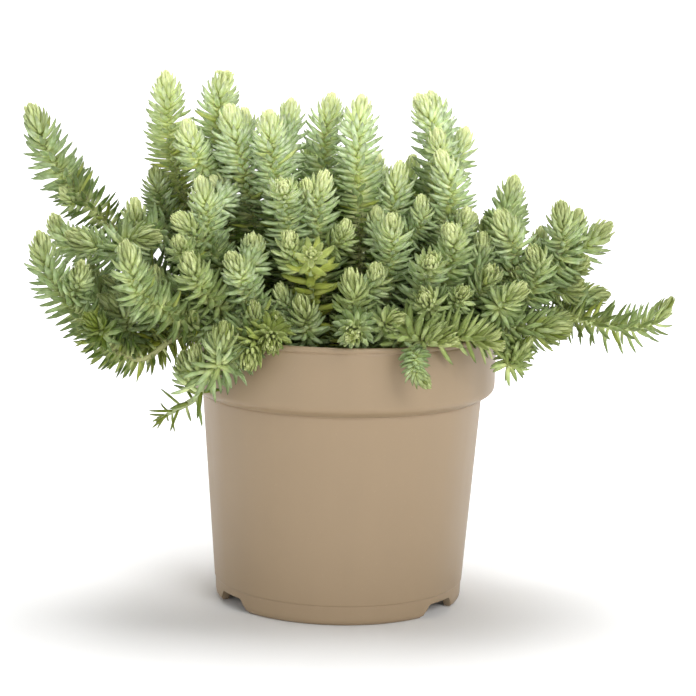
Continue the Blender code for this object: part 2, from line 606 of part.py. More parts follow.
class LeafyStem:
    """One stem's mesh: three-sided tubes whose rings turn by a sixth of a circle at each step.

    Between two rings lie six triangles. A leaf is three triangles raised on one of them, and a
    branch is a tube that starts from one of them, so the stem is one closed body as it grows.
    """

    def __init__(self, owner):
        self.owner = owner
        self.points = []
        self.faces = []
        self.sites = []
        self.tips = []
        self.own = Taken()

    def ring(self, centre, normal, binormal, turn, radius):
        start = len(self.points)
        for j in range(3):
            angle = math.radians(turn + 120.0 * j)
            side = normal * math.cos(angle) + binormal * math.sin(angle)
            self.points.append(centre + side * radius)
        return [start, start + 1, start + 2]

    def grow(self, path, kind, base=None):
        """Adds a tube along the path. base is the triangle it starts from, or none in the soil."""
        spots, from_tip, first_leafy = plan_rings(path, *kind)
        for rod in rods_of(spots, path[-1]):
            self.own.add(*rod, self.owner)
        tangent = unit(spots[1] - spots[0])
        if base is None:
            normal = unit(np.cross(tangent, (0.0, 1.0, 0.31)))
            lower = self.ring(spots[0], normal, np.cross(tangent, normal), 0.0, STEM_RADIUS)
            self.faces.append((lower[0], lower[2], lower[1]))
        else:
            lower = list(base)
            outward = self.points[base[0]] - sum(self.points[i] for i in base) / 3.0
            normal = square_to(outward, tangent)
        for k in range(1, len(spots)):
            tangent = unit(spots[min(k + 1, len(spots) - 1)] - spots[k - 1])
            normal = square_to(normal, tangent)
            radius = BUD_RADIUS if k >= len(spots) - 2 else STEM_RADIUS
            upper = self.ring(spots[k], normal, np.cross(tangent, normal), 60.0 * k, radius)
            leafy = k >= first_leafy
            for j in range(3):
                i = (j + 1) % 3
                self.sites.append(((lower[j], lower[i], upper[j]), tangent, from_tip[k], leafy))
                self.sites.append(((lower[i], upper[i], upper[j]), tangent, from_tip[k],
                                   leafy and j == k % 6))
            lower = upper
        tip = len(self.points)
        self.points.append(path[-1])
        self.faces += [(lower[j], lower[(j + 1) % 3], tip) for j in range(3)]

    def middle_and_normal(self, triangle):
        a, b, c = (self.points[i] for i in triangle)
        return (a + b + c) / 3.0, unit(np.cross(b - a, c - a))

    def branch(self, shoot, taken):
        """Grows a side shoot from the free triangle that faces it best, from below it."""
        target = np.array(shoot[0], float)
        choices = []
        for index, (triangle, tangent, from_tip, _) in enumerate(self.sites):
            middle, normal = self.middle_and_normal(triangle)
            if from_tip < LEAST_ABOVE_BRANCH or inside_pot(middle[None, :], BRANCH_TO_POT):
                continue
            away = target - middle
            distance = max(np.linalg.norm(away), 1.0)
            climb = min(away[2] / distance, 0.6)
            facing = (away @ normal) / distance
            cost = distance * COST_OF_WAY - facing * GAIN_OF_FACING - climb * GAIN_OF_CLIMB
            choices.append((cost, index, middle, normal))
        choices.sort(key=lambda choice: choice[0])
        for points in (shoot, shoot[1:]):
            for cost, index, middle, normal in choices:
                start = [middle, middle + normal * BRANCH_NECK]
                before = [len(self.points), len(self.faces), list(self.sites)]
                rods = len(taken.rows), len(self.own.rows)
                path = clear_way(start, points, SIDE, taken, self.owner)
                if path is None:
                    continue
                self.grow(path, SIDE, self.sites.pop(index)[0])
                if not self.cuts_itself():
                    return True
                del self.points[before[0]:]
                del self.faces[before[1]:]
                self.sites = before[2]
                taken.keep(rods[0])
                self.own.keep(rods[1])
        return False

    def cuts_itself(self):
        """Whether two faces with no corner in common cross."""
        points, faces, _ = self.surface()
        tree = BVHTree.FromPolygons([Vector(p) for p in points], faces)
        return any(not set(faces[a]) & set(faces[b]) for a, b in tree.overlap(tree))

    def raise_leaves(self, taken, draw):
        """Finds the tip of a leaf on each leafy triangle where there is room for one."""
        self.tips = [self.leaf_tip(triangle, tangent, from_tip, taken, draw) if leafy else None
                     for triangle, tangent, from_tip, leafy in self.sites]

    def surface(self):
        """The stem's points and faces, and for each face the number of its leaf, or none."""
        points, faces, leaves = list(self.points), list(self.faces), [None] * len(self.faces)
        tips = self.tips or [None] * len(self.sites)
        for number, (site, tip) in enumerate(zip(self.sites, tips)):
            a, b, c = site[0]
            if tip is None:
                faces.append((a, b, c))
                leaves.append(None)
            else:
                d = len(points)
                points.append(tip)
                faces += [(a, b, d), (b, c, d), (c, a, d)]
                leaves += [number] * 3
        return points, faces, leaves

    def leaf_tip(self, triangle, tangent, from_tip, taken, draw):
        """Where a leaf ends: young leaves stand up round the bud and older ones spread."""
        middle, normal = self.middle_and_normal(triangle)
        out = square_to(normal, tangent)
        age = min(1.0, from_tip / YOUNG_ZONE)
        length = YOUNG_LEAF_LENGTH + (LEAF_LENGTH - YOUNG_LEAF_LENGTH) * age
        length *= draw.uniform(0.92, 1.1)
        late = max(0.0, from_tip - YOUNG_ZONE) * LATE_SPREAD_PER_MM
        spread = BUD_SPREAD + (GROWN_SPREAD - BUD_SPREAD) * age + min(LATE_SPREAD, late)
        spread += draw.uniform(-6.0, 6.0)
        for fold, share in LEAF_TRIES:
            angle = math.radians(min(MOST_SPREAD, max(LEAST_SPREAD, spread + fold)))
            way = out * math.sin(angle) + tangent * math.cos(angle)
            apex = middle + way * length * share
            start = middle + way * LEAF_START
            line = np.linspace(middle, apex, 9)
            if inside_pot(line[:5], LEAF_ROOT_TO_POT) or inside_pot(line[5:], LEAF_TIP_TO_POT):
                continue
            if not taken.free(start, apex, LEAF_ROOT_RADIUS, LEAF_TIP_RADIUS, LEAF_TO_LEAF, (self.owner,)):
                continue
            neck = middle + way * LEAF_NECK
            if self.own.free(neck, apex, LEAF_NECK_RADIUS, LEAF_TIP_RADIUS, OWN_LEAF_TO_LEAF):
                taken.add(start, apex, LEAF_ROOT_RADIUS, LEAF_TIP_RADIUS, self.owner)
                self.own.add(neck, apex, LEAF_NECK_RADIUS, LEAF_TIP_RADIUS, self.owner)
                return apex
        return None

    def to_object(self, name, material):
        points, faces, _ = self.surface()
        return new_object(name, points, faces, material)


def drop_crossing_leaves(stems):
    """Takes off each leaf that still cuts another leaf or a stem, until none does."""
    changed = set(range(len(stems)))
    trees = {}
    while changed:
        for k in changed:
            points, faces, leaves = stems[k].surface()
            tree = BVHTree.FromPolygons([Vector(p) for p in points], faces)
            low, high = np.min(points, axis=0), np.max(points, axis=0)
            trees[k] = (tree, faces, leaves, low, high)
        again = set()
        for i in range(len(stems)):
            for j in range(i, len(stems)):
                if i not in changed and j not in changed:
                    continue
                first, second = trees[i], trees[j]
                if (first[4] < second[3]).any() or (second[4] < first[3]).any():
                    continue
                for a, b in first[0].overlap(second[0]):
                    if i == j and set(first[1][a]) & set(first[1][b]):
                        continue
                    k, number = (j, second[2][b]) if second[2][b] is not None else (i, first[2][a])
                    if number is not None and stems[k].tips[number] is not None:
                        stems[k].tips[number] = None
                        again.add(k)
        changed = again


def main():
    for thing in list(bpy.data.objects):
        bpy.data.objects.remove(thing)
    pot_material = new_material("pot_plastic", (0.40, 0.30, 0.21), 0.5)
    soil_material = new_material("soil", (0.03, 0.022, 0.015), 1.0)
    leaf_material = new_material("leaf", (0.32, 0.47, 0.25), 0.6)

    stems = list(FRONT_STEMS) + back_stems()
    roots, paths, taken = root_all(stems)
    make_pot(pot_material)
    make_soil(soil_material, roots)

    grown = []
    for k, shoots in enumerate(stems):
        grown.append(LeafyStem(k))
        grown[k].grow(paths[k], ROOTED)
    for k, shoots in enumerate(stems):
        for shoot in shoots[1:]:
            if not grown[k].branch(shoot, taken) and k < len(FRONT_STEMS):
                raise ValueError(f"no place for a branch of stem {k + 1}: {shoot[0]}")
    draw = random.Random(SEED + 1)
    for stem in grown:
        stem.raise_leaves(taken, draw)
    drop_crossing_leaves(grown)
    for k, stem in enumerate(grown):
        stem.to_object(f"leafy_stem_{k + 1:02d}", leaf_material)


if __name__ == "__main__":
    main()
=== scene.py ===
"""A needle-leaved stonecrop in a nursery pot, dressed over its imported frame.

Sizes are in millimetres in the tables below and in metres in the panel and in the meshes. +Z is up,
the origin is on the pot's axis where the pot stands, and the plant's front faces -Y.
"""

import math
import random
from collections import namedtuple

import bpy
import numpy as np
from bpy.props import FloatProperty, FloatVectorProperty, IntProperty, PointerProperty
from mathutils import Matrix, Vector
from mathutils.bvhtree import BVHTree


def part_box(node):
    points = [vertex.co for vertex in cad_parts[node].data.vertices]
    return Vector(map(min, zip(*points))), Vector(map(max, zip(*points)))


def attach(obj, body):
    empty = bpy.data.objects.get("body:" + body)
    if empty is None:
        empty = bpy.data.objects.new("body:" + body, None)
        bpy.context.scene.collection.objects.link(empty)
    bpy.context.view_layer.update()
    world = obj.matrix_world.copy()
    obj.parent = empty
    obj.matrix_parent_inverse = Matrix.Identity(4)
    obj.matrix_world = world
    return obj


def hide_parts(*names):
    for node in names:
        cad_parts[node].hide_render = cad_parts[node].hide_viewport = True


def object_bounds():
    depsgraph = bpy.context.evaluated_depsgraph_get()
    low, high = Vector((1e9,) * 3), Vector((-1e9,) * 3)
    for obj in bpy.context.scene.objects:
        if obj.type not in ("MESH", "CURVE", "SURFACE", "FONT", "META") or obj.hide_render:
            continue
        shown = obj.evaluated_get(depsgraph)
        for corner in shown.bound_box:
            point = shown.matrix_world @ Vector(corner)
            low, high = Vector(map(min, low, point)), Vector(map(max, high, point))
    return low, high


bl_info = {
    "name": "Potted Stonecrop",
    "version": (1, 0, 0),
    "blender": (4, 5, 0),
    "location": "3D View > Sidebar > Stonecrop",
    "description": "Makes a needle-leaved stonecrop with its soil and its nursery pot",
    "category": "Add Mesh",
}

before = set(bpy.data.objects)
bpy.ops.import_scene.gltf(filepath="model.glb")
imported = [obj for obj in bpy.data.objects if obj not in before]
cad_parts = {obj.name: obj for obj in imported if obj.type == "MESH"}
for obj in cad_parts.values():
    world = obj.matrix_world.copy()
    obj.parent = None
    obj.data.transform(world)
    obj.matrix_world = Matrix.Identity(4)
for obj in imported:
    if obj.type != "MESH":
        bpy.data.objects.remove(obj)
FRAME_BOX = [list(corner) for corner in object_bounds()]
MM = 0.001
SEED = 11

# The pot's outer side, from the middle of its underside over the foot ring, the ledge, the band and
# the lip, and its inner side back down to the middle of its floor, as (radius, height)
POT_OUTSIDE = (
    (6.0, 9.5), (70.3, 9.5), (71.2, 9.2), (71.6, 8.4),
    (71.7, 0.8), (72.0, 0.2), (72.6, 0.0), (74.1, 0.0), (75.3, 0.35), (76.3, 1.2), (77.0, 2.4),
    (77.3, 3.8), (77.6, 12.15), (77.85, 12.4), (78.12, 12.8),
    (86.9, 128.3), (86.6, 129.0), (86.65, 129.35), (87.5, 129.45), (87.9, 129.7),
    (91.3, 131.7), (92.9, 132.7), (94.1, 134.0), (94.8, 135.6), (95.05, 137.6), (95.1, 139.2),
    (95.2, 167.6), (95.05, 168.0), (94.9, 168.45), (95.1, 168.85), (95.55, 169.1),
    (95.8, 169.7), (95.85, 170.6), (95.65, 171.4), (95.15, 171.9),
)
POT_INSIDE = (
    (94.6, 172.0), (94.05, 171.7), (93.75, 171.0), (93.5, 139.4), (92.7, 134.9), (85.9, 130.4),
    (85.5, 129.2), (76.6, 12.9), (75.8, 11.8), (74.4, 11.5), (6.0, 11.5),
)
FOOT_TOP = 9.4
NOTCH_AZIMUTHS = (-148.0, -35.0, 90.0)
NOTCH_SPAN = (10.0, 17.5)
DRAIN_RADIUS = 5.0
DRAIN_DISTANCE = 52.0
DRAIN_SEGMENTS = 32
DRILL_ROOM = 3.0
SHARP_ANGLE = math.radians(40.0)

# The soil's side, from the middle of its underside to the edge of its top
SOIL_SIDE = (
    (4.0, 11.85), (75.4, 11.85), (76.2, 14.0), (84.9, 129.4), (92.9, 139.8), (92.9, 158.6),
)
SOIL_RINGS = 84
SOIL_SEGMENTS = 192
# The soil's height between the crumbs and at its middle point, and how wide a crumb can be
GROUND = 159.0
SOIL_MIDDLE = 159.4
CRUMB_WIDTHS = (2.0, 6.5)
PALE_GRAIN = (0.30, 0.25, 0.18)

# How the stems run. These values and the tables of shoots are the frame's own, so that each stem
# stands in its hole and clear of the others, as its solid does.
RIM_RADIUS = 95.0
RIM_TOP = 172.0
LIP_STEP = 0.8
WALL = 1.5
BAND_FOOT = 139.0
CREASE_HEIGHT = 129.5
CREASE_RADIUS = 87.0
LEDGE_HEIGHT = 12.5
LEDGE_RADIUS = 78.1
SOIL_TOP = 160.0
HOLE_ROOM = 0.5
ROOT_DEPTH = 145.4
ROOT_LIMIT = 78.0
ROOT_SPACING = 8.0
STEM_RADIUS = 1.6
BUD_RADIUS = 2.3
LEAF_STEP = 6.8
BARE_STEP = 13.0
BUD_LENGTH = 9.0
CORE_TO_CORE = 1.2
CORE_TO_POT = 2.9
BRANCH_TO_POT = 4.0
BRANCH_NECK = 5.0
BRANCH_REACH = 9.0
NECK_CLEARANCE = 0.6
LEAST_ABOVE_BRANCH = 12.0
COST_OF_WAY = 0.02
GAIN_OF_FACING = 1.4
GAIN_OF_CLIMB = 0.7
# How long the leafy part of a shoot is at most, how long the bare part below it is at least, and
# how far it runs straight from its start
ROOTED = (80.0, 24.0, SOIL_TOP + 3.0 - ROOT_DEPTH)
SIDE = (44.0, BRANCH_NECK, BRANCH_NECK)
ROOT_TRIES = 40
ORDER_TRIES = 30
RING_TURN = 17.0
NEAREST_SHARE = 0.5
SHARE_PER_MM = 1.0 / 240.0
RIM_CROSSING = 91.0
CROSSING_HEIGHTS = (178.5, 183.0, 189.0)
LONGEST_STRAIGHT = 22.0
DETOURS = (6.0, -6.0, 11.0, -11.0)

# The stems that the front shows: a list of shoots each. The first shoot stands in the soil and the
# others branch off it. A shoot is its points from where it comes clear of the leaves to its tip.
FRONT_STEMS = (
    # left side, from the outermost shoots inwards
    [[(-154, 8, 237), (-171, 12, 253), (-188, 14, 278), (-198, 15, 303)],
     [(-170, 2, 245), (-177, 0, 253)]],
    [[(-101, -62, 170), (-119, -66, 158), (-138, -68, 165), (-151, -68, 178), (-162, -66, 190),
      (-174, -60, 205), (-182, -55, 232)], [(-156, -74, 202), (-153, -80, 218)],
     [(-141, -80, 176), (-150, -90, 188)]],
    [[(-118, -32, 205), (-143, -38, 218), (-167, -45, 230)], [(-172, -15, 222), (-180, -12, 238)],
     [(-131, -52, 226), (-109, -60, 231)]],
    [[(-114, -5, 244), (-118, -5, 268)], [(-126, -32, 234), (-126, -40, 251)],
     [(-107, 4, 201), (-113, 8, 218)]],
    [[(-97, -78, 186), (-106, -85, 192), (-119, -92, 202), (-126, -98, 232)]],
    [[(-96, -40, 172), (-122, -42, 160), (-141, -36, 162), (-165, -26, 182)],
     [(-129, -52, 177), (-147, -50, 194)], [(-118, -34, 184), (-133, -30, 193), (-146, -26, 203)],
     [(-149, -26, 186), (-156, -18, 208)]],
    [[(-85, -80, 206), (-91, -93, 225)], [(-109, -58, 199), (-112, -63, 214)],
     [(-86, -72, 178), (-88, -84, 190)]],
    [[(-90, -52, 232), (-101, -63, 244)], [(-95, -66, 222), (-97, -78, 233)]],
    [[(-81, -46, 227), (-82, -48, 239), (-87, -50, 266)], [(-73, -24, 255), (-82, -27, 264)]],
    [[(-71, -100, 161), (-69, -104, 174), (-68, -106, 187)],
     [(-82, -91, 152), (-84, -93, 162), (-85, -95, 172)],
     [(-84, -84, 140), (-101, -76, 128), (-111, -68, 121)], [(-89, -84, 150), (-93, -87, 167)]],
    # tall shoots along the top, from left to right
    [[(-108, 4, 272), (-110, 2, 293), (-112, 0, 326)], [(-107, 14, 240), (-106, 24, 262)]],
    [[(-80, 6, 300), (-76, 5, 328)], [(-91, -18, 274), (-98, -25, 298)]],
    [[(-62, -20, 267), (-67, -22, 284), (-72, -25, 307)], [(-62, -8, 289), (-64, -10, 305)]],
    [[(-44, -30, 268), (-46, -32, 285), (-47, -35, 305)], [(-37, 2, 288), (-35, 2, 311)]],
    [[(-36, -50, 250), (-37, -70, 266)], [(-24, -43, 250), (-24, -53, 266)]],
    [[(-14, 0, 283), (-10, 0, 315)], [(-22, 22, 262), (-24, 28, 284)], [(8, 22, 256), (12, 28, 278)]],
    [[(8, -32, 249), (6, -28, 286), (8, -20, 315)], [(16, -12, 263), (18, -10, 280)]],
    [[(-17, -45, 251), (-12, -52, 271)], [(-4, -50, 228), (1, -60, 243)]],
    [[(29, -24, 252), (32, -25, 276)], [(45, -34, 238), (45, -38, 257)]],
    [[(54, -8, 285), (42, -8, 316)], [(58, 12, 293), (50, 14, 317)], [(56, -21, 282), (53, -27, 296)],
     [(67, 2, 276), (73, 3, 296)]],
    [[(63, -34, 251), (62, -36, 263), (55, -38, 284)], [(70, -42, 240), (72, -50, 251)]],
    # middle, facing the front
    [[(-20, -72, 217), (-19, -94, 227)], [(-31, -70, 222), (-32, -83, 238)]],
    [[(-60, -79, 209), (-67, -90, 226)], [(-54, -63, 220), (-54, -71, 235)]],
    [[(28, -58, 230), (27, -68, 248)], [(19, -38, 236), (18, -42, 250)]],
    [[(64, -58, 226), (60, -71, 243)]],
    [[(49, -70, 212), (50, -90, 226)], [(64, -76, 197), (70, -92, 208)]],
    [[(50, -80, 192), (46, -101, 206)], [(24, -86, 185), (36, -98, 191)]],
    [[(84, -60, 207), (86, -70, 219)], [(82, -41, 220), (82, -45, 236)]],
    # low, along the front of the rim
    [[(6, -77, 198), (3, -84, 217)], [(18, -71, 205), (18, -80, 220)], [(7, -95, 183), (5, -114, 181)]],
    [[(-22, -78, 185), (-26, -86, 201)], [(-35, -67, 194), (-38, -74, 206)],
     [(-37, -76, 181), (-40, -84, 191)]],
    [[(-52, -76, 182), (-53, -84, 197)], [(-42, -94, 178), (-41, -110, 173)],
     [(-53, -95, 172), (-54, -112, 162)]],
    [[(44, -92, 177), (54, -98, 176), (66, -99, 176)], [(72, -86, 178), (93, -86, 172)],
     [(42, -101, 168), (42, -105, 161), (51, -107, 152)]],
    # right side, from the middle outwards
    [[(102, -42, 217), (99, -46, 231), (90, -50, 250)], [(99, -14, 249), (103, -12, 268)],
     [(90, -8, 224), (87, -5, 243)]],
    [[(111, -46, 200), (115, -50, 218), (109, -58, 229)], [(106, -44, 206), (103, -50, 216)],
     [(92, -72, 195), (106, -80, 210)]],
    [[(132, -28, 220), (131, -32, 232), (129, -35, 255)], [(138, -20, 235), (142, -20, 249)],
     [(121, 2, 220), (121, 6, 235)]],
    [[(130, -8, 212), (149, -10, 226), (163, -8, 240)], [(142, -20, 213), (147, -24, 221)],
     [(138, -18, 199), (145, -24, 206)]],
    [[(112, -10, 178), (140, -12, 180), (159, -8, 176), (180, -6, 174), (196, -5, 181), (203, -4, 194)],
     [(144, 6, 190), (166, 10, 193)]],
    [[(90, -58, 181), (111, -59, 180), (135, -60, 180)],
     [(98, -74, 160), (105, -71, 167), (111, -67, 177)], [(126, -42, 182), (140, -42, 185)]],
)

# The back's stems stand on rings round the axis: (number, first and last azimuth, tip radius, tip
# height, lean in degrees, side shoots)
BACK_RINGS = (
    (5, 28.0, 152.0, 46.0, 270.0, 10.0, 2),
    (7, 16.0, 164.0, 86.0, 244.0, 22.0, 2),
    (7, 10.0, 170.0, 106.0, 213.0, 34.0, 2),
)
BACK_SHOOT_LENGTH = 34.0
SIDE_SHOOT_LENGTH = 20.0
SIDE_SPREAD = 21.0
SIDE_DROP = (6.0, 26.0)
SIDE_TURN = 0.35

# How leaves change with their depth under the top of the stem: how many grow on a millimetre, the
# angle from the stem at which a leaf leaves it, the angle at the leaf's end, its length and its
# breadth against a grown leaf's, and its age from bud to oldest. Then the stem's radius there.
DEPTHS = (0.0, 3.0, 6.0, 9.0, 12.0, 15.0, 20.0, 28.0, 40.0, 62.0, 80.0, 120.0)
LEAVES_PER_MM = (6.0, 5.2, 4.3, 3.4, 2.6, 2.15, 1.85, 1.75, 1.75, 1.75, 1.6, 1.2)
FIRST_ANGLES = (4.0, 24.0, 41.0, 52.0, 62.0, 68.0, 73.0, 77.0, 80.0, 82.0, 85.0, 88.0)
LAST_ANGLES = (-4.0, -16.0, -19.0, -11.0, 9.0, 25.0, 42.0, 54.0, 62.0, 68.0, 73.0, 78.0)
LENGTHS = (0.36, 0.56, 0.73, 0.83, 0.87, 0.92, 0.98, 1.03, 1.06, 1.06, 0.98, 0.8)
BREADTHS = (0.50, 0.57, 0.66, 0.74, 0.81, 0.88, 0.95, 1.0, 1.02, 1.0, 0.95, 0.9)
LEAF_AGES = (0.0, 0.07, 0.14, 0.25, 0.36, 0.46, 0.56, 0.65, 0.74, 0.86, 0.94, 1.0)
STEM_RADII = (0.5, 0.8, 1.0, 1.2, 1.3, 1.4, 1.5, 1.5, 1.5, 1.6, 1.6, 1.7)
# How far the youngest leaf stands below a path's end, and how far above its foot a stem has leaves
BUD_ABOVE = 4.8
ROOT_COVER = 19.0
# How far leaves stay inside the frame's box, and how far a path may leave its solid's box
INSIDE_BOX = 0.9
ASTRAY = 2.5
GOLDEN_ANGLE = math.radians(137.508)
# Leaves have the fine form down to this depth and the plain one below it: where a leaf's rings lie
# along it, and how wide it is there as a share of its full width.
OLDEST_FINE_LEAF = 62.0
FINE_RINGS = ((0.0, 0.80), (0.24, 1.0), (0.60, 0.96), (0.87, 0.54))
PLAIN_RINGS = ((0.0, 0.80), (0.40, 1.0), (0.80, 0.60))
FINE_SIDES = 5
PLAIN_SIDES = 4
UPPER_FLATNESS = 0.72
# A leaf that would come this near to the pot or the soil, or leave the frame's box, tries these
# angles from its own one in turn, and bends by this share of them too.
LEAF_TO_POT = 1.1
FOLDS = (0.0, -18.0, -34.0, 16.0, -50.0)
FOLD_BEND = 0.6
# How far a leaf is sunk into the stem, how much leaves vary in length and width, and the spread of
# the angles at which they stand, round the stem in radians and from it in degrees
LEAF_ROOT = 0.45
LEAF_SIZES = (0.9, 1.08)
TURN_SPREAD = 0.07
ANGLE_SPREAD = 4.5
# Over what depth a shoot becomes bare, and the share of its leaves that it keeps there
BARE_FADE = 15.0
BARE_SHARE = 0.22
# How far apart a stem's rings stand, and how many sides it has
STEM_STEP = 2.2
STEM_SIDES = 8
# Leaves are painted darker, as painted shade, the lower they stand between these heights, and far
# out on both sides, most of all on the right. Buds get more painted shade low down.
LIT_HEIGHTS = (185.0, 290.0)
LIT_ACROSS = (-190.0, -90.0, 70.0, 150.0), (0.35, 1.0, 1.0, 0.4)
RIGHT_SHADE = (50.0, 130.0), (0.0, 0.12)
LOW_BUD_SHADE = 0.16
# By a leaf's age: how much wax it has, and how likely it is to have turned yellow
WAX_BY_AGE = (0.1, 0.5, 0.75, 0.9), (0.2, 1.0, 0.75, 0.05)
YELLOW_BY_AGE = (0.3, 0.75, 0.9), (0.0, 0.015, 0.12)
# What a leaf's colour is multiplied by, from the darkest tone to the lightest. The tone is partly
# chance and partly painted light and shade.
LEAF_TONES = (
    (0.0, (0.25, 0.29, 0.07)), (0.55, (1.17, 1.165, 1.12)), (1.0, (1.56, 1.51, 1.60)))
# The colour that the tips of grown leaves darken to
TIP_SHADE = (0.07, 0.10, 0.03)
# The angle at which the leaves of an opened bud end
OPENED_ANGLE = 62.0

# The stage, in metres: the floor runs flat, then bends up into a low wall, and its glow starts and
# is full at these shares of the way to the wall.
WALL_RADIUS = 3.2
WALL_TOP = 1.5
WALL_BEND = 0.9
FLOOR_SEGMENTS = 96
GLOW_SHARES = (0.04, 0.32)
# The soft lights' names, places and sizes, and the point that they face
LIGHTS = (
    ("key", (1.1, -1.9, 1.5), 1.1), ("fill", (-1.9, -1.3, 1.1), 1.6), ("top", (0.0, 0.3, 2.1), 1.4))
LIT_POINT = (0.0, 0.0, 0.2)
CAMERA_PLACE = (0.00307, -1.31105, 0.36693)
CAMERA_LENS = 110.1
# How far the camera looks down, and how far it is turned on its own axis, in radians
CAMERA_PITCH = 0.1588
CAMERA_ROLL = 0.0225

# How a shoot differs from the others: how yellow or, below zero, how blue it is, how large it is, its
# leaves' length and width against those of its size, how upright they stand, how far its bud has
# opened, how full it is, how far its leaves gather on its upper side, how much painted shade darkens
# it, and the depth under which it is nearly bare
Look = namedtuple("Look", "yellow size longer wider upright opened full gathered dark bare",
                  defaults=(0.0, 1.0, 1.0, 1.0, 0.0, 0.0, 1.0, 0.0, 0.0, 1000.0))
# Other shoots differ by chance: how far they are yellow or blue, and the least and greatest size of
# a stem's first shoot and of its side shoots
YELLOW_SPREAD = 0.16
SIZES = (0.92, 1.06), (0.78, 0.96)
SHOOT_LOOKS = {
    (1, 0): Look(-0.15, longer=1.1, upright=-0.1, dark=0.2),
    (1, 1): Look(0.2, size=0.65),
    (2, 0): Look(longer=0.95, full=0.95, bare=88.0),
    (2, 2): Look(-0.2, size=0.8, dark=0.7),
    (3, 0): Look(-0.1, dark=0.2),
    (3, 2): Look(-0.3, longer=1.15, dark=0.5),
    (4, 0): Look(-0.35, size=0.74, longer=1.1, dark=0.9),
    (4, 1): Look(-0.1, size=1.08),
    (6, 0): Look(0.5, longer=1.1),
    (6, 1): Look(-0.1, wider=1.1),
    (6, 2): Look(longer=1.15, wider=1.15),
    (6, 3): Look(0.1, longer=1.15, wider=1.1),
    (7, 2): Look(-0.4, longer=0.9),
    (10, 0): Look(-0.2, longer=1.15),
    (10, 1): Look(-0.1, longer=1.1),
    (10, 2): Look(0.15, size=1.25, longer=0.85, wider=0.66, opened=1.1, full=0.22, dark=0.8),
    (12, 0): Look(0.1, longer=1.06, full=1.15),
    (13, 0): Look(longer=1.14, full=1.25),
    (14, 0): Look(-0.1, longer=1.1, full=1.15),
    (22, 0): Look(0.85, longer=1.2, wider=1.5, opened=0.35, full=0.3),
    (22, 1): Look(0.25, longer=0.9, upright=0.3),
    (23, 0): Look(-0.45, longer=0.9, wider=1.05, upright=0.2),
    (25, 0): Look(0.1, longer=0.95, wider=1.15, upright=0.1),
    (29, 0): Look(0.25, upright=0.1),
    (29, 2): Look(-0.6, longer=0.95, wider=1.05),
    (31, 1): Look(0.6, upright=0.1),
    (31, 2): Look(0.7, upright=0.1),
    (32, 0): Look(0.3, longer=1.3, wider=1.2, opened=0.7, full=0.8, gathered=1.0),
    (32, 1): Look(0.35, longer=1.25, wider=1.1, opened=1.0, full=0.7, gathered=0.8),
    (32, 2): Look(-0.6, size=0.62, wider=1.05),
    (35, 0): Look(-0.6),
    (37, 0): Look(0.15, wider=0.82, full=0.8, gathered=0.4),
    (38, 0): Look(0.1, longer=1.15, upright=0.15),
}


def length_setting(name, description, millimetres):
    """A length, which the panel shows in the scene's own unit."""
    return FloatProperty(name=name, description=description, default=millimetres * MM, unit="LENGTH")


def colour_setting(name, description, *colour):
    """A colour as linear red, green and blue."""
    return FloatVectorProperty(name=name, description=description, subtype="COLOR", default=colour)


def amount_setting(name, description, default, **more):
    """A plain number."""
    return FloatProperty(name=name, description=description, default=default, **more)


class PotSettings(bpy.types.PropertyGroup):
    """The nursery pot"""

    segments: IntProperty(name="Segments", description="Faces round the pot", default=240, min=48)
    notch_height: length_setting("Notch height", "Height of the openings in the foot ring", 8.0)
    plastic: colour_setting("Plastic", "Colour of the pot", 0.296, 0.215, 0.131)
    roughness: amount_setting("Roughness", "How matt the plastic is", 0.42, subtype="FACTOR")


class SoilSettings(bpy.types.PropertyGroup):
    """The soil in the pot"""

    crumb_height: length_setting("Crumb height", "How far the largest crumbs stand up", 2.2)
    crumbs: IntProperty(name="Crumbs", description="Number of crumbs on the soil", default=520)
    earth: colour_setting("Earth", "Colour of moist potting soil", 0.014, 0.010, 0.006)


class PlantSettings(bpy.types.PropertyGroup):
    """The leafy stems"""

    leaf_length: length_setting("Leaf length", "Length of a grown leaf", 15.2)
    leaf_width: length_setting("Leaf width", "Width of a grown leaf", 3.7)
    leaf_thickness: length_setting("Leaf thickness", "Thickness of a grown leaf", 3.0)
    bud: colour_setting("Bud", "Colour of the youngest leaves", 0.54, 0.59, 0.285)
    young: colour_setting("Young leaf", "Colour of leaves round the bud", 0.46, 0.54, 0.235)
    grown: colour_setting("Grown leaf", "Colour of grown leaves", 0.31, 0.42, 0.175)
    # Old leaves are olive, and darkened further here as painted shade, as they stand deep under the
    # others.
    old: colour_setting("Old leaf", "Colour of the lowest leaves", 0.075, 0.125, 0.008)
    bloom: colour_setting("Bloom", "Colour of the wax on the leaves", 0.58, 0.66, 0.50)
    # Leaf bases are paler than the leaf, and lightened further here as painted light where the stem's
    # shade falls.
    base: colour_setting("Leaf base", "Colour of leaves where they leave the stem", 0.78, 0.85, 0.44)
    yellow: colour_setting("Yellow leaf", "Colour of the shoots that turn yellow", 0.43, 0.47, 0.075)
    # Young stems are pale green, and lightened further here as painted light where shade falls between
    # the leaves.
    stem: colour_setting("Stem", "Colour of young stems", 0.62, 0.72, 0.35)
    bark: colour_setting("Bark", "Colour of old stems", 0.36, 0.37, 0.16)


class StageSettings(bpy.types.PropertyGroup):
    """The floor, the lights and the camera"""

    floor: colour_setting("Floor", "Colour of the floor", 0.90, 0.90, 0.90)
    key: amount_setting("Key light", "Power of the main light in watts", 28.0)
    fill: amount_setting("Fill light", "Power of the side light in watts", 1.5)
    top: amount_setting("Top light", "Power of the light above in watts", 44.0)
    sky: amount_setting("Sky", "Strength of the light all round", 0.03)
    wall: amount_setting("Wall", "How bright the paper wall glows", 0.7)


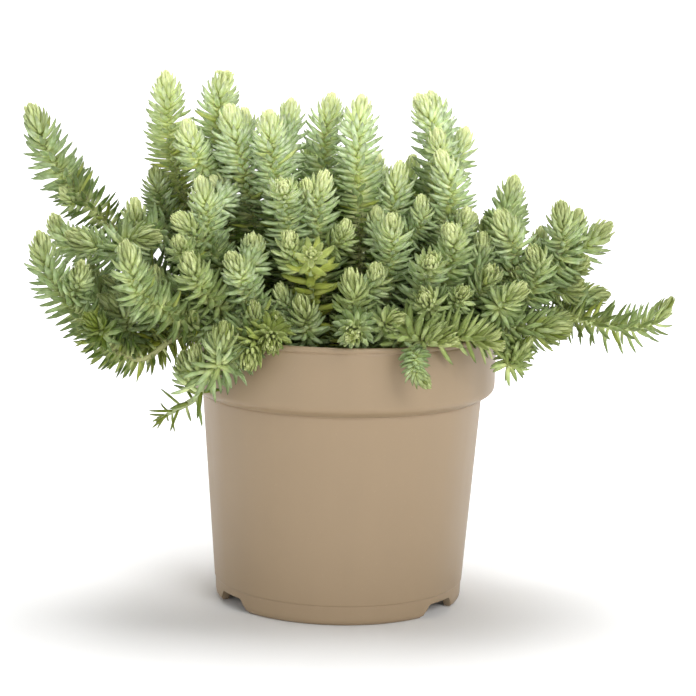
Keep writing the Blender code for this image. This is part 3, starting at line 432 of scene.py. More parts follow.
def unit(v):
    """The vector or the rows of vectors, each divided by its length."""
    return v / np.maximum(np.linalg.norm(v, axis=-1, keepdims=True), 1e-9)


def polar(radius, azimuth, height):
    """A point at a radius from the pot's axis and an azimuth in degrees from +X towards +Y."""
    angle = math.radians(azimuth)
    return np.array([radius * math.cos(angle), radius * math.sin(angle), height])


def square_to(v, tangent):
    """The unit vector square to the tangent on the side that v points to."""
    return unit(v - tangent * (v @ tangent))


def body_radius(height):
    """The pot's outer radius grows evenly from the ledge to the crease."""
    share = (height - LEDGE_HEIGHT) / (CREASE_HEIGHT - LEDGE_HEIGHT)
    return LEDGE_RADIUS + (CREASE_RADIUS - LEDGE_RADIUS) * share


def near_pot(points, margin):
    """Which of the points come within the margin of the pot's wall or the soil."""
    r = np.hypot(points[..., 0], points[..., 1])
    z = points[..., 2]
    in_band = (z < RIM_TOP + margin) & (z > CREASE_HEIGHT - margin) \
        & (r < RIM_RADIUS + LIP_STEP + margin) & (r > CREASE_RADIUS - WALL - margin)
    in_rim = in_band & ((r > RIM_RADIUS - WALL - margin) | (z < BAND_FOOT + 2.0))
    in_body = (z <= CREASE_HEIGHT) & (r < body_radius(z) + margin)
    in_soil = (z < SOIL_TOP + margin) & (r < RIM_RADIUS - WALL)
    return in_rim | in_body | in_soil


def smooth_path(controls):
    """A centripetal Catmull-Rom curve: between two points it blends the lines through four."""

    def between(start, end, a, b):
        return (end - t) / (end - start) * a + (t - start) / (end - start) * b

    p = np.array(controls, float)
    p = np.vstack([2 * p[0] - p[1], p, 2 * p[-1] - p[-2]])
    found = []
    for a, b, c, d in zip(p, p[1:], p[2:], p[3:]):
        steps = [math.sqrt(np.linalg.norm(step)) for step in (b - a, c - b, d - c)]
        ta, tb, tc, td = np.cumsum([0.0] + steps)
        t = np.linspace(tb, tc, max(2, int(np.linalg.norm(c - b))), endpoint=False)[:, None]
        early, late = between(ta, tb, a, b), between(tc, td, c, d)
        middle = between(tb, tc, b, c)
        found.append(between(tb, tc, between(ta, tc, early, middle), between(tb, td, middle, late)))
    return np.vstack(found + [p[-2:-1]])


def back_stems():
    """The back's stems as lists of shoots, leaning outwards the more the further out they are."""
    draw = random.Random(SEED)
    stems = []
    for number, first, last, radius, height, lean, sides in BACK_RINGS:
        for i in range(number):
            azimuth = first + (last - first) * i / (number - 1) + draw.uniform(-4.0, 4.0)
            tip = polar(radius + draw.uniform(-5, 5), azimuth, height + draw.uniform(-8, 8))
            out = math.tan(math.radians(lean))
            heading = unit(polar(out, azimuth + draw.uniform(-14, 14), 1.0))
            waist = tip - heading * BACK_SHOOT_LENGTH
            shoots = [[waist, tip]]
            across = polar(1.0, azimuth + 90.0, 0.0)
            for side in range(sides):
                sign = 1.0 if (side + i) % 2 else -1.0
                turned = unit(heading + sign * SIDE_TURN * across)
                offset = across * sign * (SIDE_SPREAD + draw.uniform(-2, 2))
                drop = SIDE_DROP[side] + draw.uniform(-2, 2)
                end = tip + offset + polar(drop * SIDE_TURN, azimuth, -drop)
                shoots.append([end - turned * SIDE_SHOOT_LENGTH, end])
            stems.append(shoots)
    return stems


class Taken:
    """The space that stems already fill: rods, as rows of start, end, radius and owner."""

    def __init__(self):
        self.rows = np.zeros((0, 8))

    def add(self, start, end, radius, owner):
        self.rows = np.vstack([self.rows, [*start, *end, radius, owner]])

    def free(self, start, end, radius, gap, skip=()):
        """Whether a rod clears every rod whose owner isn't skipped, from line to line."""
        rows = self.rows[~np.isin(self.rows[:, 7], list(skip))]
        if not len(rows):
            return True
        p, q = rows[:, :3], rows[:, 3:6]
        d1, d2 = end - start, q - p
        r = start - p
        a = d1 @ d1
        e = np.maximum((d2 * d2).sum(1), 1e-9)
        f = (d2 * r).sum(1)
        c = r @ d1
        b = d2 @ d1
        below = a * e - b * b
        s = np.where(below > 1e-9, np.clip((b * f - c * e) / np.maximum(below, 1e-9), 0, 1), 0.0)
        t = (b * s + f) / e
        outside = (t < 0) | (t > 1)
        t = np.clip(t, 0, 1)
        s = np.where(outside, np.clip((b * t - c) / max(a, 1e-9), 0, 1), s)
        apart = np.linalg.norm(start + s[:, None] * d1 - p - t[:, None] * d2, axis=1)
        return bool((apart > radius + rows[:, 6] + gap).all())


def plan_rings(path, leafy_length, least_bare, straight):
    """Where a stem's rings stand: far apart on its bare part and close where leaves grow."""
    along = run_of(path)
    total = along[-1]
    bare = max(least_bare, total - leafy_length)
    bare_steps = math.ceil((bare - straight) / BARE_STEP)
    leafy = total - BUD_LENGTH * 0.55 - bare
    leafy_steps = max(2, round(leafy / LEAF_STEP))
    marks = np.concatenate([[0.0], np.linspace(straight, bare, bare_steps + 1),
                            bare + leafy * np.arange(1, leafy_steps + 1) / leafy_steps])
    return rows_at(marks, along, path), total - marks


def run_of(path):
    """How far each point of a path lies along it from its start."""
    return np.concatenate([[0.0], np.cumsum(np.linalg.norm(np.diff(path, axis=0), axis=1))])


def rows_at(marks, along, rows):
    """Rows of points or directions read off at marks along a path."""
    return np.stack([np.interp(marks, along, column) for column in rows.T], axis=1)


def rods_of(spots, tip):
    """The rods that cover a stem's core, from ring to ring, and its bud."""
    ends = list(spots) + [tip]
    thick = [STEM_RADIUS] * (len(spots) - 2) + [BUD_RADIUS] * 2
    return list(zip(ends, ends[1:], thick))


def ways_to(start, shoot):
    """Smooth paths from the start points through the shoot's points, straight or over the rim."""
    start, points = list(start), list(shoot)
    yield smooth_path(start + points)
    last, first = np.array(start[-1]), np.array(points[0])
    share = np.linspace(0.0, 1.0, 101)[:, None]
    line = last[:2] * (1.0 - share) + first[:2] * share
    reach = np.hypot(line[:, 0], line[:, 1])
    if reach.min() < RIM_CROSSING < reach.max():
        x, y = line[np.argmin(abs(reach - RIM_CROSSING))]
        for height in CROSSING_HEIGHTS:
            yield smooth_path(start + [(x, y, height)] + points)
    run = first - last
    across = unit(np.array([-run[1], run[0], 0.01]))
    if np.linalg.norm(run) > LONGEST_STRAIGHT:
        for aside in DETOURS:
            middle = (last + first) / 2.0 + across * aside + np.array([0.0, 0.0, abs(aside) / 2])
            yield smooth_path(start + [middle] + points)


def clear_way(start, shoot, kind, taken, owner):
    """The first way, if there is one, whose core clears the pot and all cores so far."""
    for path in ways_to(start, shoot):
        rods = rods_of(plan_rings(path, *kind)[0], path[-1])
        core = np.vstack([np.linspace(rod[0], rod[1], 9) for rod in rods])
        aside = np.hypot(*(core - start[0])[:, :2].T)
        in_hole = (kind is ROOTED) & (aside < HOLE_ROOM + np.maximum(core[:, 2] - SOIL_TOP, 0.0))
        if near_pot(core[~in_hole], CORE_TO_POT).any():
            continue
        near = [rod for rod in rods if np.linalg.norm(rod[0] - start[0]) < BRANCH_REACH]
        far = rods[len(near):]
        if all(taken.free(*rod, CORE_TO_CORE, (owner,)) for rod in near) \
                and all(taken.free(*rod, NECK_CLEARANCE) for rod in near[1:]) \
                and all(taken.free(*rod, CORE_TO_CORE) for rod in far):
            for rod in rods:
                taken.add(*rod, owner)
            return path


def root_sites():
    """The places in the soil where a stem can stand, on rings round the pot's axis."""
    sites = [np.zeros(2)]
    for ring in range(1, int(ROOT_LIMIT / ROOT_SPACING) + 1):
        count = int(math.tau * ring)
        sites += [polar(ring * ROOT_SPACING, 360.0 * i / count + RING_TURN * ring, 0)[:2]
                  for i in range(count)]
    return np.array(sites)


def root_stem(shoot, sites, free, taken, owner):
    """A clear way, if there is one, from the free site nearest to where the shoot comes down."""
    first = np.array(shoot[0], float)
    reach = math.hypot(first[0], first[1])
    share = min(1.0, NEAREST_SHARE + reach * SHARE_PER_MM)
    wanted = first[:2] * min(1.0, ROOT_LIMIT / max(reach, 1.0)) * share
    distance = np.where(free, np.linalg.norm(sites - wanted, axis=1), np.inf)
    for pick in np.argsort(distance)[:ROOT_TRIES]:
        x, y = sites[pick]
        foot = [(x, y, height) for height in (ROOT_DEPTH, SOIL_TOP - 4.0, SOIL_TOP + 3.0)]
        path = clear_way(foot, shoot, ROOTED, taken, owner)
        if path is not None:
            free[pick] = False
            return path


def root_all(stems):
    """Roots the stems from the outermost inwards. One that finds no way goes before all others."""
    sites = root_sites()
    order = sorted(range(len(stems)), key=lambda k: -math.hypot(*stems[k][0][0][:2]))
    for _ in range(ORDER_TRIES):
        taken, free, found = Taken(), np.ones(len(sites), bool), {}
        for k in order:
            found[k] = root_stem(stems[k][0], sites, free, taken, k)
            if found[k] is None:
                order.remove(k)
                order.insert(0, k)
                break
        else:
            return [found[k] for k in range(len(stems))], taken
    raise ValueError("the stems can't all be rooted")


class StemCore:
    """A stem's core as three-sided tubes, which says where its side shoots leave it."""

    def __init__(self, owner):
        self.owner = owner
        self.points, self.faces, self.sites, self.shoots = [], [], [], []

    def ring(self, centre, normal, binormal, turn, radius):
        """Adds three points round a centre and gives their numbers."""
        for angle in np.radians([turn, turn + 120.0, turn + 240.0]):
            self.points.append(centre + (normal * math.cos(angle) + binormal * math.sin(angle)) * radius)
        return [len(self.points) + k for k in (-3, -2, -1)]

    def grow(self, path, kind, number, base=None):
        """Adds a tube along the path, from the soil or from the triangle that is its base."""
        spots, from_tip = plan_rings(path, *kind)
        self.shoots.append((number, kind, path))
        tangent = unit(spots[1] - spots[0])
        if base is None:
            normal = unit(np.cross(tangent, (0.0, 1.0, 0.31)))
            lower = self.ring(spots[0], normal, np.cross(tangent, normal), 0.0, STEM_RADIUS)
            self.faces.append((lower[0], lower[2], lower[1]))
        else:
            lower = list(base)
            normal = square_to(self.points[base[0]] - sum(self.points[i] for i in base) / 3.0, tangent)
        for k in range(1, len(spots)):
            tangent = unit(spots[min(k + 1, len(spots) - 1)] - spots[k - 1])
            normal = square_to(normal, tangent)
            radius = BUD_RADIUS if k >= len(spots) - 2 else STEM_RADIUS
            upper = self.ring(spots[k], normal, np.cross(tangent, normal), 60.0 * k, radius)
            for j, i in ((0, 1), (1, 2), (2, 0)):
                self.sites += [((lower[j], lower[i], upper[j]), from_tip[k]),
                               ((lower[i], upper[i], upper[j]), from_tip[k])]
            lower = upper
        tip = len(self.points)
        self.points.append(path[-1])
        self.faces += [(lower[j], lower[(j + 1) % 3], tip) for j in range(3)]

    def branch(self, shoot, number, taken):
        """Grows a side shoot from the free triangle that faces it best, from below it."""
        choices = []
        for index, (triangle, from_tip) in enumerate(self.sites):
            a, b, c = (self.points[i] for i in triangle)
            middle, normal = (a + b + c) / 3.0, unit(np.cross(b - a, c - a))
            if from_tip < LEAST_ABOVE_BRANCH or near_pot(middle, BRANCH_TO_POT):
                continue
            away = shoot[0] - middle
            distance = max(np.linalg.norm(away), 1.0)
            climb = min(away[2] / distance, 0.6)
            facing = (away @ normal) / distance
            cost = distance * COST_OF_WAY - facing * GAIN_OF_FACING - climb * GAIN_OF_CLIMB
            choices.append((cost, index, middle, normal))
        choices.sort(key=lambda choice: choice[0])
        for points in (shoot, shoot[1:]):
            for _, index, middle, normal in choices:
                start = [middle, middle + normal * BRANCH_NECK]
                before = len(self.points), len(self.faces), list(self.sites), taken.rows
                path = clear_way(start, points, SIDE, taken, self.owner)
                if path is None:
                    continue
                self.grow(path, SIDE, number, self.sites.pop(index)[0])
                if not self.cuts_itself():
                    return
                del self.points[before[0]:]
                del self.faces[before[1]:]
                self.sites, taken.rows = before[2:]
                self.shoots.pop()

    def cuts_itself(self):
        """Whether two faces with no corner in common cross."""
        faces = self.faces + [site[0] for site in self.sites]
        tree = BVHTree.FromPolygons([Vector(p) for p in self.points], faces)
        return any(not set(faces[a]) & set(faces[b]) for a, b in tree.overlap(tree))


def route_stems():
    """Every stem's shoots as paths: the frame's own routes, worked out by the same rules."""
    stems = list(FRONT_STEMS) + back_stems()
    paths, taken = root_all(stems)
    cores = [StemCore(k) for k in range(len(stems))]
    for core, path in zip(cores, paths):
        core.grow(path, ROOTED, 0)
    for core, shoots in zip(cores, stems):
        for number, shoot in enumerate(shoots[1:], 1):
            core.branch(shoot, number, taken)
    return cores


def tube_faces(tubes, rings, sides):
    """Faces of closed tubes, each of which has its rings' points in turn and then its tip's.

    Four-sided faces lie between the rings, three-sided ones meet at the tip, and one covers the base.
    """
    first = np.arange(tubes)[:, None, None] * (rings * sides + 1)
    ring = np.arange(rings - 1)[None, :, None] * sides
    side = np.arange(sides)[None, None, :]
    here, beside = first + ring + side, first + ring + (side + 1) % sides
    quads = np.stack([here, beside, beside + sides, here + sides], axis=-1).reshape(-1, 4)
    last = first[:, 0] + (rings - 1) * sides
    here, beside = last + side[0], last + (side[0] + 1) % sides
    tip = np.broadcast_to(first[:, 0] + rings * sides, here.shape)
    fans = np.stack([here, beside, tip], axis=-1).reshape(-1, 3)
    caps = (first[:, 0] + side[0][:, ::-1]).reshape(-1, sides)
    return [quads, fans, caps]


class Surface:
    """One piece's points in millimetres, its faces and its points' values, as whole arrays."""

    def __init__(self, *names):
        self.points, self.faces, self.marks, self.count = [], [], [], 0
        self.values = {name: [] for name in names}

    def add(self, points, faces, mark=0, **values):
        """Adds points and the faces between them, which take the material of that number."""
        shape = points.shape[:-1]
        self.points.append(points.reshape(-1, 3))
        for group in faces:
            self.faces.append(group + self.count)
            self.marks.append(np.full(len(group), mark))
        for name, store in self.values.items():
            store.append(np.broadcast_to(values[name], shape).reshape(-1))
        self.count += len(self.points[-1])

    def to_object(self, name, *materials):
        """Puts the arrays into a mesh, smooth shaded, and gives its object."""
        mesh = bpy.data.meshes.new(name)
        corners = np.concatenate([group.ravel() for group in self.faces]).astype(np.int32)
        sizes = np.concatenate([np.full(len(group), group.shape[1]) for group in self.faces])
        starts = np.concatenate([[0], np.cumsum(sizes)[:-1]]).astype(np.int32)
        mesh.vertices.add(self.count)
        mesh.vertices.foreach_set("co", (np.concatenate(self.points) * MM).astype(np.float32).ravel())
        mesh.loops.add(len(corners))
        mesh.loops.foreach_set("vertex_index", corners)
        mesh.polygons.add(len(sizes))
        mesh.polygons.foreach_set("loop_start", starts)
        mesh.polygons.foreach_set("material_index", np.concatenate(self.marks).astype(np.int32))
        for material in materials:
            mesh.materials.append(material)
        mesh.update(calc_edges=True)
        for key, store in self.values.items():
            layer = mesh.attributes.new(key, "FLOAT", "POINT")
            layer.data.foreach_set("value", np.concatenate(store).astype(np.float32))
        mesh.shade_smooth()
        piece = bpy.data.objects.new(name, mesh)
        bpy.context.scene.collection.objects.link(piece)
        return piece


class Finish:
    """A material's nodes. Where a factor or a colour is asked for, a socket or a value will do."""

    def __init__(self, name, **inputs):
        """A new material, with the shader's own sockets set."""
        self.material = bpy.data.materials.new(name)
        self.material.use_nodes = True
        self.tree = self.material.node_tree
        self.shader = self.tree.nodes["Principled BSDF"]
        for key, value in inputs.items():
            self.shader.inputs[key.replace("_", " ")].default_value = value

    def node(self, kind, inputs=(), **settings):
        """A node with its settings and its inputs, which are given by name or by number."""
        made = self.tree.nodes.new("ShaderNode" + kind)
        for name, value in settings.items():
            setattr(made, name, value)
        for name, value in dict(inputs).items():
            if isinstance(value, bpy.types.NodeSocket):
                self.tree.links.new(value, made.inputs[name])
            else:
                made.inputs[name].default_value = value
        return made

    def give(self, name, socket):
        """Links a socket to the shader's own."""
        self.tree.links.new(socket, self.shader.inputs[name])

    def ramp(self, factor, *stops):
        """A colour ramp over a factor, from (position, colour) stops. A number stands for a grey."""
        made = self.node("ValToRGB", {"Fac": factor})
        elements = made.color_ramp.elements
        while len(elements) < len(stops):
            elements.new(1.0)
        for element, (position, colour) in zip(elements, stops):
            element.position = position
            grey = isinstance(colour, (int, float))
            element.color = (*((colour,) * 3 if grey else colour), 1.0)
        return made.outputs["Color"]

    def mix(self, factor, first, second, blend="MIX"):
        """A colour mixed from two."""
        first, second = (colour if isinstance(colour, bpy.types.NodeSocket) else (*colour, 1.0)
                         for colour in (first, second))
        made = self.node("Mix", {0: factor, 6: first, 7: second}, data_type="RGBA", blend_type=blend)
        return made.outputs[2]

    def math(self, operation, first, second):
        """One number worked out from two, kept from 0 to 1."""
        return self.node("Math", {0: first, 1: second}, operation=operation, use_clamp=True).outputs[0]

    def place(self):
        """The place on the piece, in metres."""
        return self.node("TexCoord").outputs["Object"]

    def noise(self, scale, detail=3.0, stretch=(1.0, 1.0, 1.0)):
        """Noise over the piece, stretched along the axes."""
        place = self.node("Mapping", {"Vector": self.place(), "Scale": stretch}).outputs["Vector"]
        made = self.node("TexNoise", {"Vector": place, "Scale": scale, "Detail": detail})
        return made.outputs["Fac"]

    def value(self, name):
        """A value that the mesh carries at its points."""
        return self.node("Attribute", attribute_name=name).outputs["Fac"]

    def bump(self, height, distance, strength=1.0):
        """Raises the surface by a height, by so many metres at most."""
        made = self.node("Bump", {"Height": height, "Distance": distance, "Strength": strength})
        self.give("Normal", made.outputs["Normal"])


def leaf_material(plant):
    """Waxy leaves: lime at the bud, blue-green when grown, olive when old, pale bases, dark tips.

    Old leaves are darkened further as painted shade, bases and bloom lightened as painted light and
    sheen, and a tone of chance and painted light and shade multiplies the colour.
    """
    finish = Finish(
        "waxy_leaf", Roughness=0.5, Specular_IOR_Level=0.25, Subsurface_Weight=0.08,
        Subsurface_Radius=(0.6, 1.0, 0.3), Subsurface_Scale=0.0015)
    age, along = finish.value("age"), finish.value("along")
    colour = finish.ramp(age, (0.0, plant.bud), (0.14, plant.bud), (0.40, plant.young),
                         (0.60, plant.grown), (0.70, plant.grown), (0.92, plant.old))
    patches = finish.ramp(finish.noise(330.0, 4.0), (0.35, 0.0), (0.7, 1.0))
    # Bloom from the wax value: real wax, and painted sheen where the painted light is strong.
    colour = finish.mix(finish.math("MULTIPLY", patches, finish.value("wax")), colour, plant.bloom)
    # Pale leaf bases: their own paler colour, lightened further as painted light against the shade at
    # the stem.
    base = finish.ramp(along, (0.0, 1.0), (0.24, 0.55), (0.5, 0.0))
    colour = finish.mix(base, colour, plant.base)
    colour = finish.mix(finish.value("yellow"), colour, plant.yellow)
    # The tone multiplies in painted light and shade, partly chance.
    colour = finish.mix(1.0, colour, finish.ramp(finish.value("tone"), *LEAF_TONES), "MULTIPLY")
    grown = finish.ramp(age, (0.12, 0.0), (0.42, 0.7))
    tip = finish.ramp(along, (0.66, 0.0), (0.97, 1.0))
    finish.give("Base Color", finish.mix(finish.math("MULTIPLY", grown, tip), colour, TIP_SHADE))
    finish.give("Roughness", finish.ramp(finish.noise(900.0), (0.3, 0.42), (0.7, 0.6)))
    finish.bump(finish.noise(1400.0, 2.0), 0.00012, 0.6)
    return finish.material


def stem_material(plant):
    """Stems: pale green while leaves grow on them, brown and scarred below."""
    finish = Finish("stem_skin", Roughness=0.6, Specular_IOR_Level=0.3)
    marks = finish.noise(260.0, 4.0, (1.0, 1.0, 0.6))
    age = finish.math("ADD", finish.value("age"), finish.math("MULTIPLY", marks, 0.12))
    colour = finish.ramp(age, (0.0, plant.stem), (0.9, plant.stem), (1.0, plant.bark))
    colour = finish.mix(finish.ramp(marks, (0.5, 0.0), (0.7, 0.25)), colour, plant.bark)
    # Painted shade: the stem is darkened by its shoot's tone.
    shade = finish.ramp(finish.value("tone"), (0.0, 0.5), (1.0, 1.0))
    finish.give("Base Color", finish.mix(1.0, colour, shade, "MULTIPLY"))
    finish.bump(marks, 0.0004, 0.7)
    return finish.material


def tinted(colour, factor):
    """A colour times a factor, with no part above 1."""
    return tuple(min(1.0, part * factor) for part in colour)


def plastic_material(pot):
    """Moulded plastic: satin, with faint upright flow lines, fine grain and a little dust."""
    finish = Finish("moulded_plastic", Roughness=pot.roughness, Specular_IOR_Level=0.4)
    flow = finish.noise(60.0, 5.0, (1.0, 1.0, 0.035))
    cloud, grain = finish.noise(9.0), finish.noise(2600.0, 2.0)
    colour = finish.ramp(flow, (0.3, tinted(pot.plastic, 0.98)), (0.7, tinted(pot.plastic, 1.02)))
    colour = finish.mix(finish.ramp(cloud, (0.35, 0.0), (0.75, 0.3)), colour, tinted(pot.plastic, 0.9))
    specks = finish.ramp(finish.noise(700.0, 2.0), (0.70, 0.0), (0.76, 0.35))
    finish.give("Base Color", finish.mix(specks, colour, tinted(pot.plastic, 1.35)))
    finish.give("Roughness", finish.ramp(flow, (0.3, pot.roughness - 0.05), (0.7, pot.roughness + 0.09)))
    height = finish.math("ADD", finish.math("MULTIPLY", flow, 0.5), finish.math("MULTIPLY", grain, 0.4))
    finish.bump(height, 0.0001, 0.5)
    return finish.material


def earth_material(soil):
    """Moist potting soil: nearly black, with brown fibres and a few pale grains."""
    finish = Finish("potting_soil", Roughness=0.92, Specular_IOR_Level=0.2)
    crumbs = finish.noise(420.0, 6.0)
    colour = finish.ramp(crumbs, (0.35, soil.earth), (0.7, tinted(soil.earth, 3.6)))
    grains = finish.ramp(finish.noise(900.0, 1.0), (0.74, 0.0), (0.78, 1.0))
    finish.give("Base Color", finish.mix(grains, colour, PALE_GRAIN))
    finish.bump(crumbs, 0.0012)
    return finish.material


def floor_material(stage):
    """A plain pale floor with the faintest unevenness, which glows far out as lit paper does."""
    finish = Finish(
        "pale_floor", Roughness=0.85, Specular_IOR_Level=0.1, Emission_Strength=stage.wall)
    far = finish.node("VectorMath", {0: finish.place()}, operation="LENGTH").outputs["Value"]
    share = finish.math("MULTIPLY", far, 1.0 / WALL_RADIUS)
    finish.give("Emission Color", finish.ramp(share, (GLOW_SHARES[0], 0.0), (GLOW_SHARES[1], 1.0)))
    dim = tinted(stage.floor, 0.985)
    finish.give("Base Color", finish.ramp(finish.noise(3.0), (0.3, dim), (0.7, stage.floor)))
    return finish.material


def supported(profile):
    """The profile with a point close to both ends of each long line, so that it shades flat."""
    p = np.array(profile)
    start, end = p[:-1, None], p[1:, None]
    length = np.linalg.norm(end - start, axis=-1, keepdims=True)
    share = np.minimum(0.6 / length, 0.33)
    shares = np.concatenate([np.zeros_like(share), share, 1.0 - share], axis=1)
    return np.concatenate([(start + (end - start) * shares).reshape(-1, 2), p[-1:]])


def lathe(profile, segments):
    """Rings of points: each profile point's radius turned round the axis at its height."""
    turn = np.arange(segments) * math.tau / segments
    r, z = profile[:, :1], profile[:, 1:]
    return np.stack([r * np.cos(turn), r * np.sin(turn), z + 0.0 * turn], axis=-1)


def add_turned(body, grid, height, place=0.0):
    """Adds a turned body from its rings to a surface, closed by a point on its axis."""
    points = np.concatenate([grid.reshape(-1, 3), [[0.0, 0.0, height]]])
    body.add(points + place, tube_faces(1, *grid.shape[:2]))
    return body


class StonecropPot(bpy.types.Operator):
    """Makes the nursery pot in place of its solid"""

    bl_idname = "stonecrop.pot"
    bl_label = "Nursery Pot"

    def execute(self, context):
        pot = context.scene.stonecrop_pot
        grid = lathe(supported(POT_OUTSIDE + POT_INSIDE), pot.segments)
        # A point of the foot ring is lifted to the notch's height, which falls off in an S-shape
        # with the distance along the ring from the notch's middle.
        azimuth = np.degrees(np.arctan2(grid[..., 1], grid[..., 0]))
        reach = np.hypot(grid[..., 0], grid[..., 1])
        lift = np.zeros_like(reach)
        for middle in NOTCH_AZIMUTHS:
            away = abs((azimuth - middle + 180.0) % 360.0 - 180.0) * math.pi / 180.0 * reach
            share = np.clip((NOTCH_SPAN[1] - away) / (NOTCH_SPAN[1] - NOTCH_SPAN[0]), 0.0, 1.0)
            lift = np.maximum(lift, share * share * (3.0 - 2.0 * share) * pot.notch_height / MM)
        foot = (grid[..., 2] < FOOT_TOP) & (reach > POT_OUTSIDE[3][0] - 0.5)
        grid[..., 2] = np.where(foot, np.maximum(grid[..., 2], lift), grid[..., 2])
        body = add_turned(Surface(), grid, POT_INSIDE[-1][1])
        piece = body.to_object("nursery_pot", plastic_material(pot))
        self.drill(piece)
        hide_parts("pot")
        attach(piece, "root")
        return {"FINISHED"}

    def drill(self, piece):
        """Opens a round hole in the floor across from each notch, and keeps the cut in the mesh."""
        rods = Surface()
        low, high = POT_OUTSIDE[0][1] - DRILL_ROOM, POT_INSIDE[-1][1] + DRILL_ROOM
        rod = lathe(np.array([(DRAIN_RADIUS, low), (DRAIN_RADIUS, high)]), DRAIN_SEGMENTS)
        for middle in NOTCH_AZIMUTHS:
            add_turned(rods, rod, high, polar(DRAIN_DISTANCE, middle + 180.0, 0.0))
        cutter = rods.to_object("drain_holes")
        modifier = piece.modifiers.new("Drains", "BOOLEAN")
        modifier.solver = "EXACT"
        modifier.operation = "DIFFERENCE"
        modifier.object = cutter
        graph = bpy.context.evaluated_depsgraph_get()
        drilled = bpy.data.meshes.new_from_object(piece.evaluated_get(graph))
        piece.modifiers.remove(modifier)
        bpy.data.objects.remove(cutter)
        piece.data = drilled
        drilled.shade_smooth()
        drilled.set_sharp_from_angle(angle=SHARP_ANGLE)


class StonecropSoil(bpy.types.Operator):
    """Makes the crumbly soil in place of its solid"""

    bl_idname = "stonecrop.soil"
    bl_label = "Soil"

    def execute(self, context):
        soil = context.scene.stonecrop_soil
        draw = np.random.default_rng(SEED)
        edge = SOIL_SIDE[-1][0]
        top = np.stack([np.linspace(edge, 1.0, SOIL_RINGS), np.full(SOIL_RINGS, GROUND)], axis=1)
        grid = lathe(np.concatenate([supported(SOIL_SIDE), top]), SOIL_SEGMENTS)
        # A crumb is half an ellipsoid, and the ground is as high as the highest crumb there.
        ground = grid[-SOIL_RINGS:]
        middles = draw.uniform(-edge, edge, (soil.crumbs, 2))
        widths = draw.uniform(*CRUMB_WIDTHS, soil.crumbs)
        heights = widths / CRUMB_WIDTHS[1] * soil.crumb_height / MM * draw.uniform(0.6, 1.0, soil.crumbs)
        for x, y, width, height in zip(*middles.T, widths, heights):
            off = ((ground[..., 0] - x) ** 2 + (ground[..., 1] - y) ** 2) / width ** 2
            raised = GROUND + height * np.sqrt(np.maximum(0.0, 1.0 - off))
            ground[1:, :, 2] = np.maximum(ground[1:, :, 2], raised[1:])
        body = add_turned(Surface(), grid, SOIL_MIDDLE)
        piece = body.to_object("crumbly_soil", earth_material(soil))
        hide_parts("soil")
        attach(piece, "root")
        return {"FINISHED"}


class Track:
    """A shoot's path, with its direction and a square vector that turns with it, at each point."""

    def __init__(self, path):
        self.path = path
        self.along = run_of(path)
        self.tangents = unit(np.gradient(path, self.along, axis=0))
        normal = unit(np.cross(self.tangents[0], (0.3, 1.0, 0.31)))
        self.normals = np.zeros_like(path)
        for k, tangent in enumerate(self.tangents):
            self.normals[k] = normal = square_to(normal, tangent)

    def at(self, lengths):
        """Points, directions, and the two vectors square to them, at lengths along the path."""
        spot, tangent, normal = (rows_at(lengths, self.along, rows)
                                 for rows in (self.path, self.tangents, self.normals))
        tangent = unit(tangent)
        normal = unit(normal - tangent * (normal * tangent).sum(1)[:, None])
        return spot, tangent, normal, np.cross(tangent, normal)


def leaf_line(share, base, outward, tangent, first, turn, length):
    """Points and directions on the middle lines of leaves, at a share of their length.

    A leaf's angle from the stem changes evenly from first to first + turn, so its line is an arc:
    it reaches outwards by the integral of the angle's sine and rises by that of its cosine.
    """
    now = first + turn * share
    reach = length * (np.cos(first) - np.cos(now)) / turn
    rise = length * (np.sin(now) - np.sin(first)) / turn
    middle = base + outward * reach[:, None] + tangent * rise[:, None]
    way = outward * np.sin(now)[:, None] + tangent * np.cos(now)[:, None]
    return middle, way


def leaf_points(rings, sides, width, thickness, *stand):
    """Leaves' rings and tips: ovals across the middle line, flatter above, as wide as rings says.

    How the leaves stand is what leaf_line asks for after the share.
    """
    across = np.cross(stand[2], stand[1])
    corners = math.tau * (0.25 + (np.arange(sides) + 0.5) / sides)
    flat = np.where(np.sin(corners) > 0.0, UPPER_FLATNESS, 1.0)
    points = []
    for share, wide in rings:
        middle, way = leaf_line(share, *stand)
        upper = np.cross(way, across)
        sideways = (np.cos(corners) * 0.5 * wide)[:, None] * width[:, None, None]
        upwards = (np.sin(corners) * flat * 0.5 * wide)[:, None] * thickness[:, None, None]
        points.append(middle[:, None] + across[:, None] * sideways + upper[:, None] * upwards)
    tip, _ = leaf_line(1.0, *stand)
    return np.concatenate(points + [tip[:, None]], axis=1)


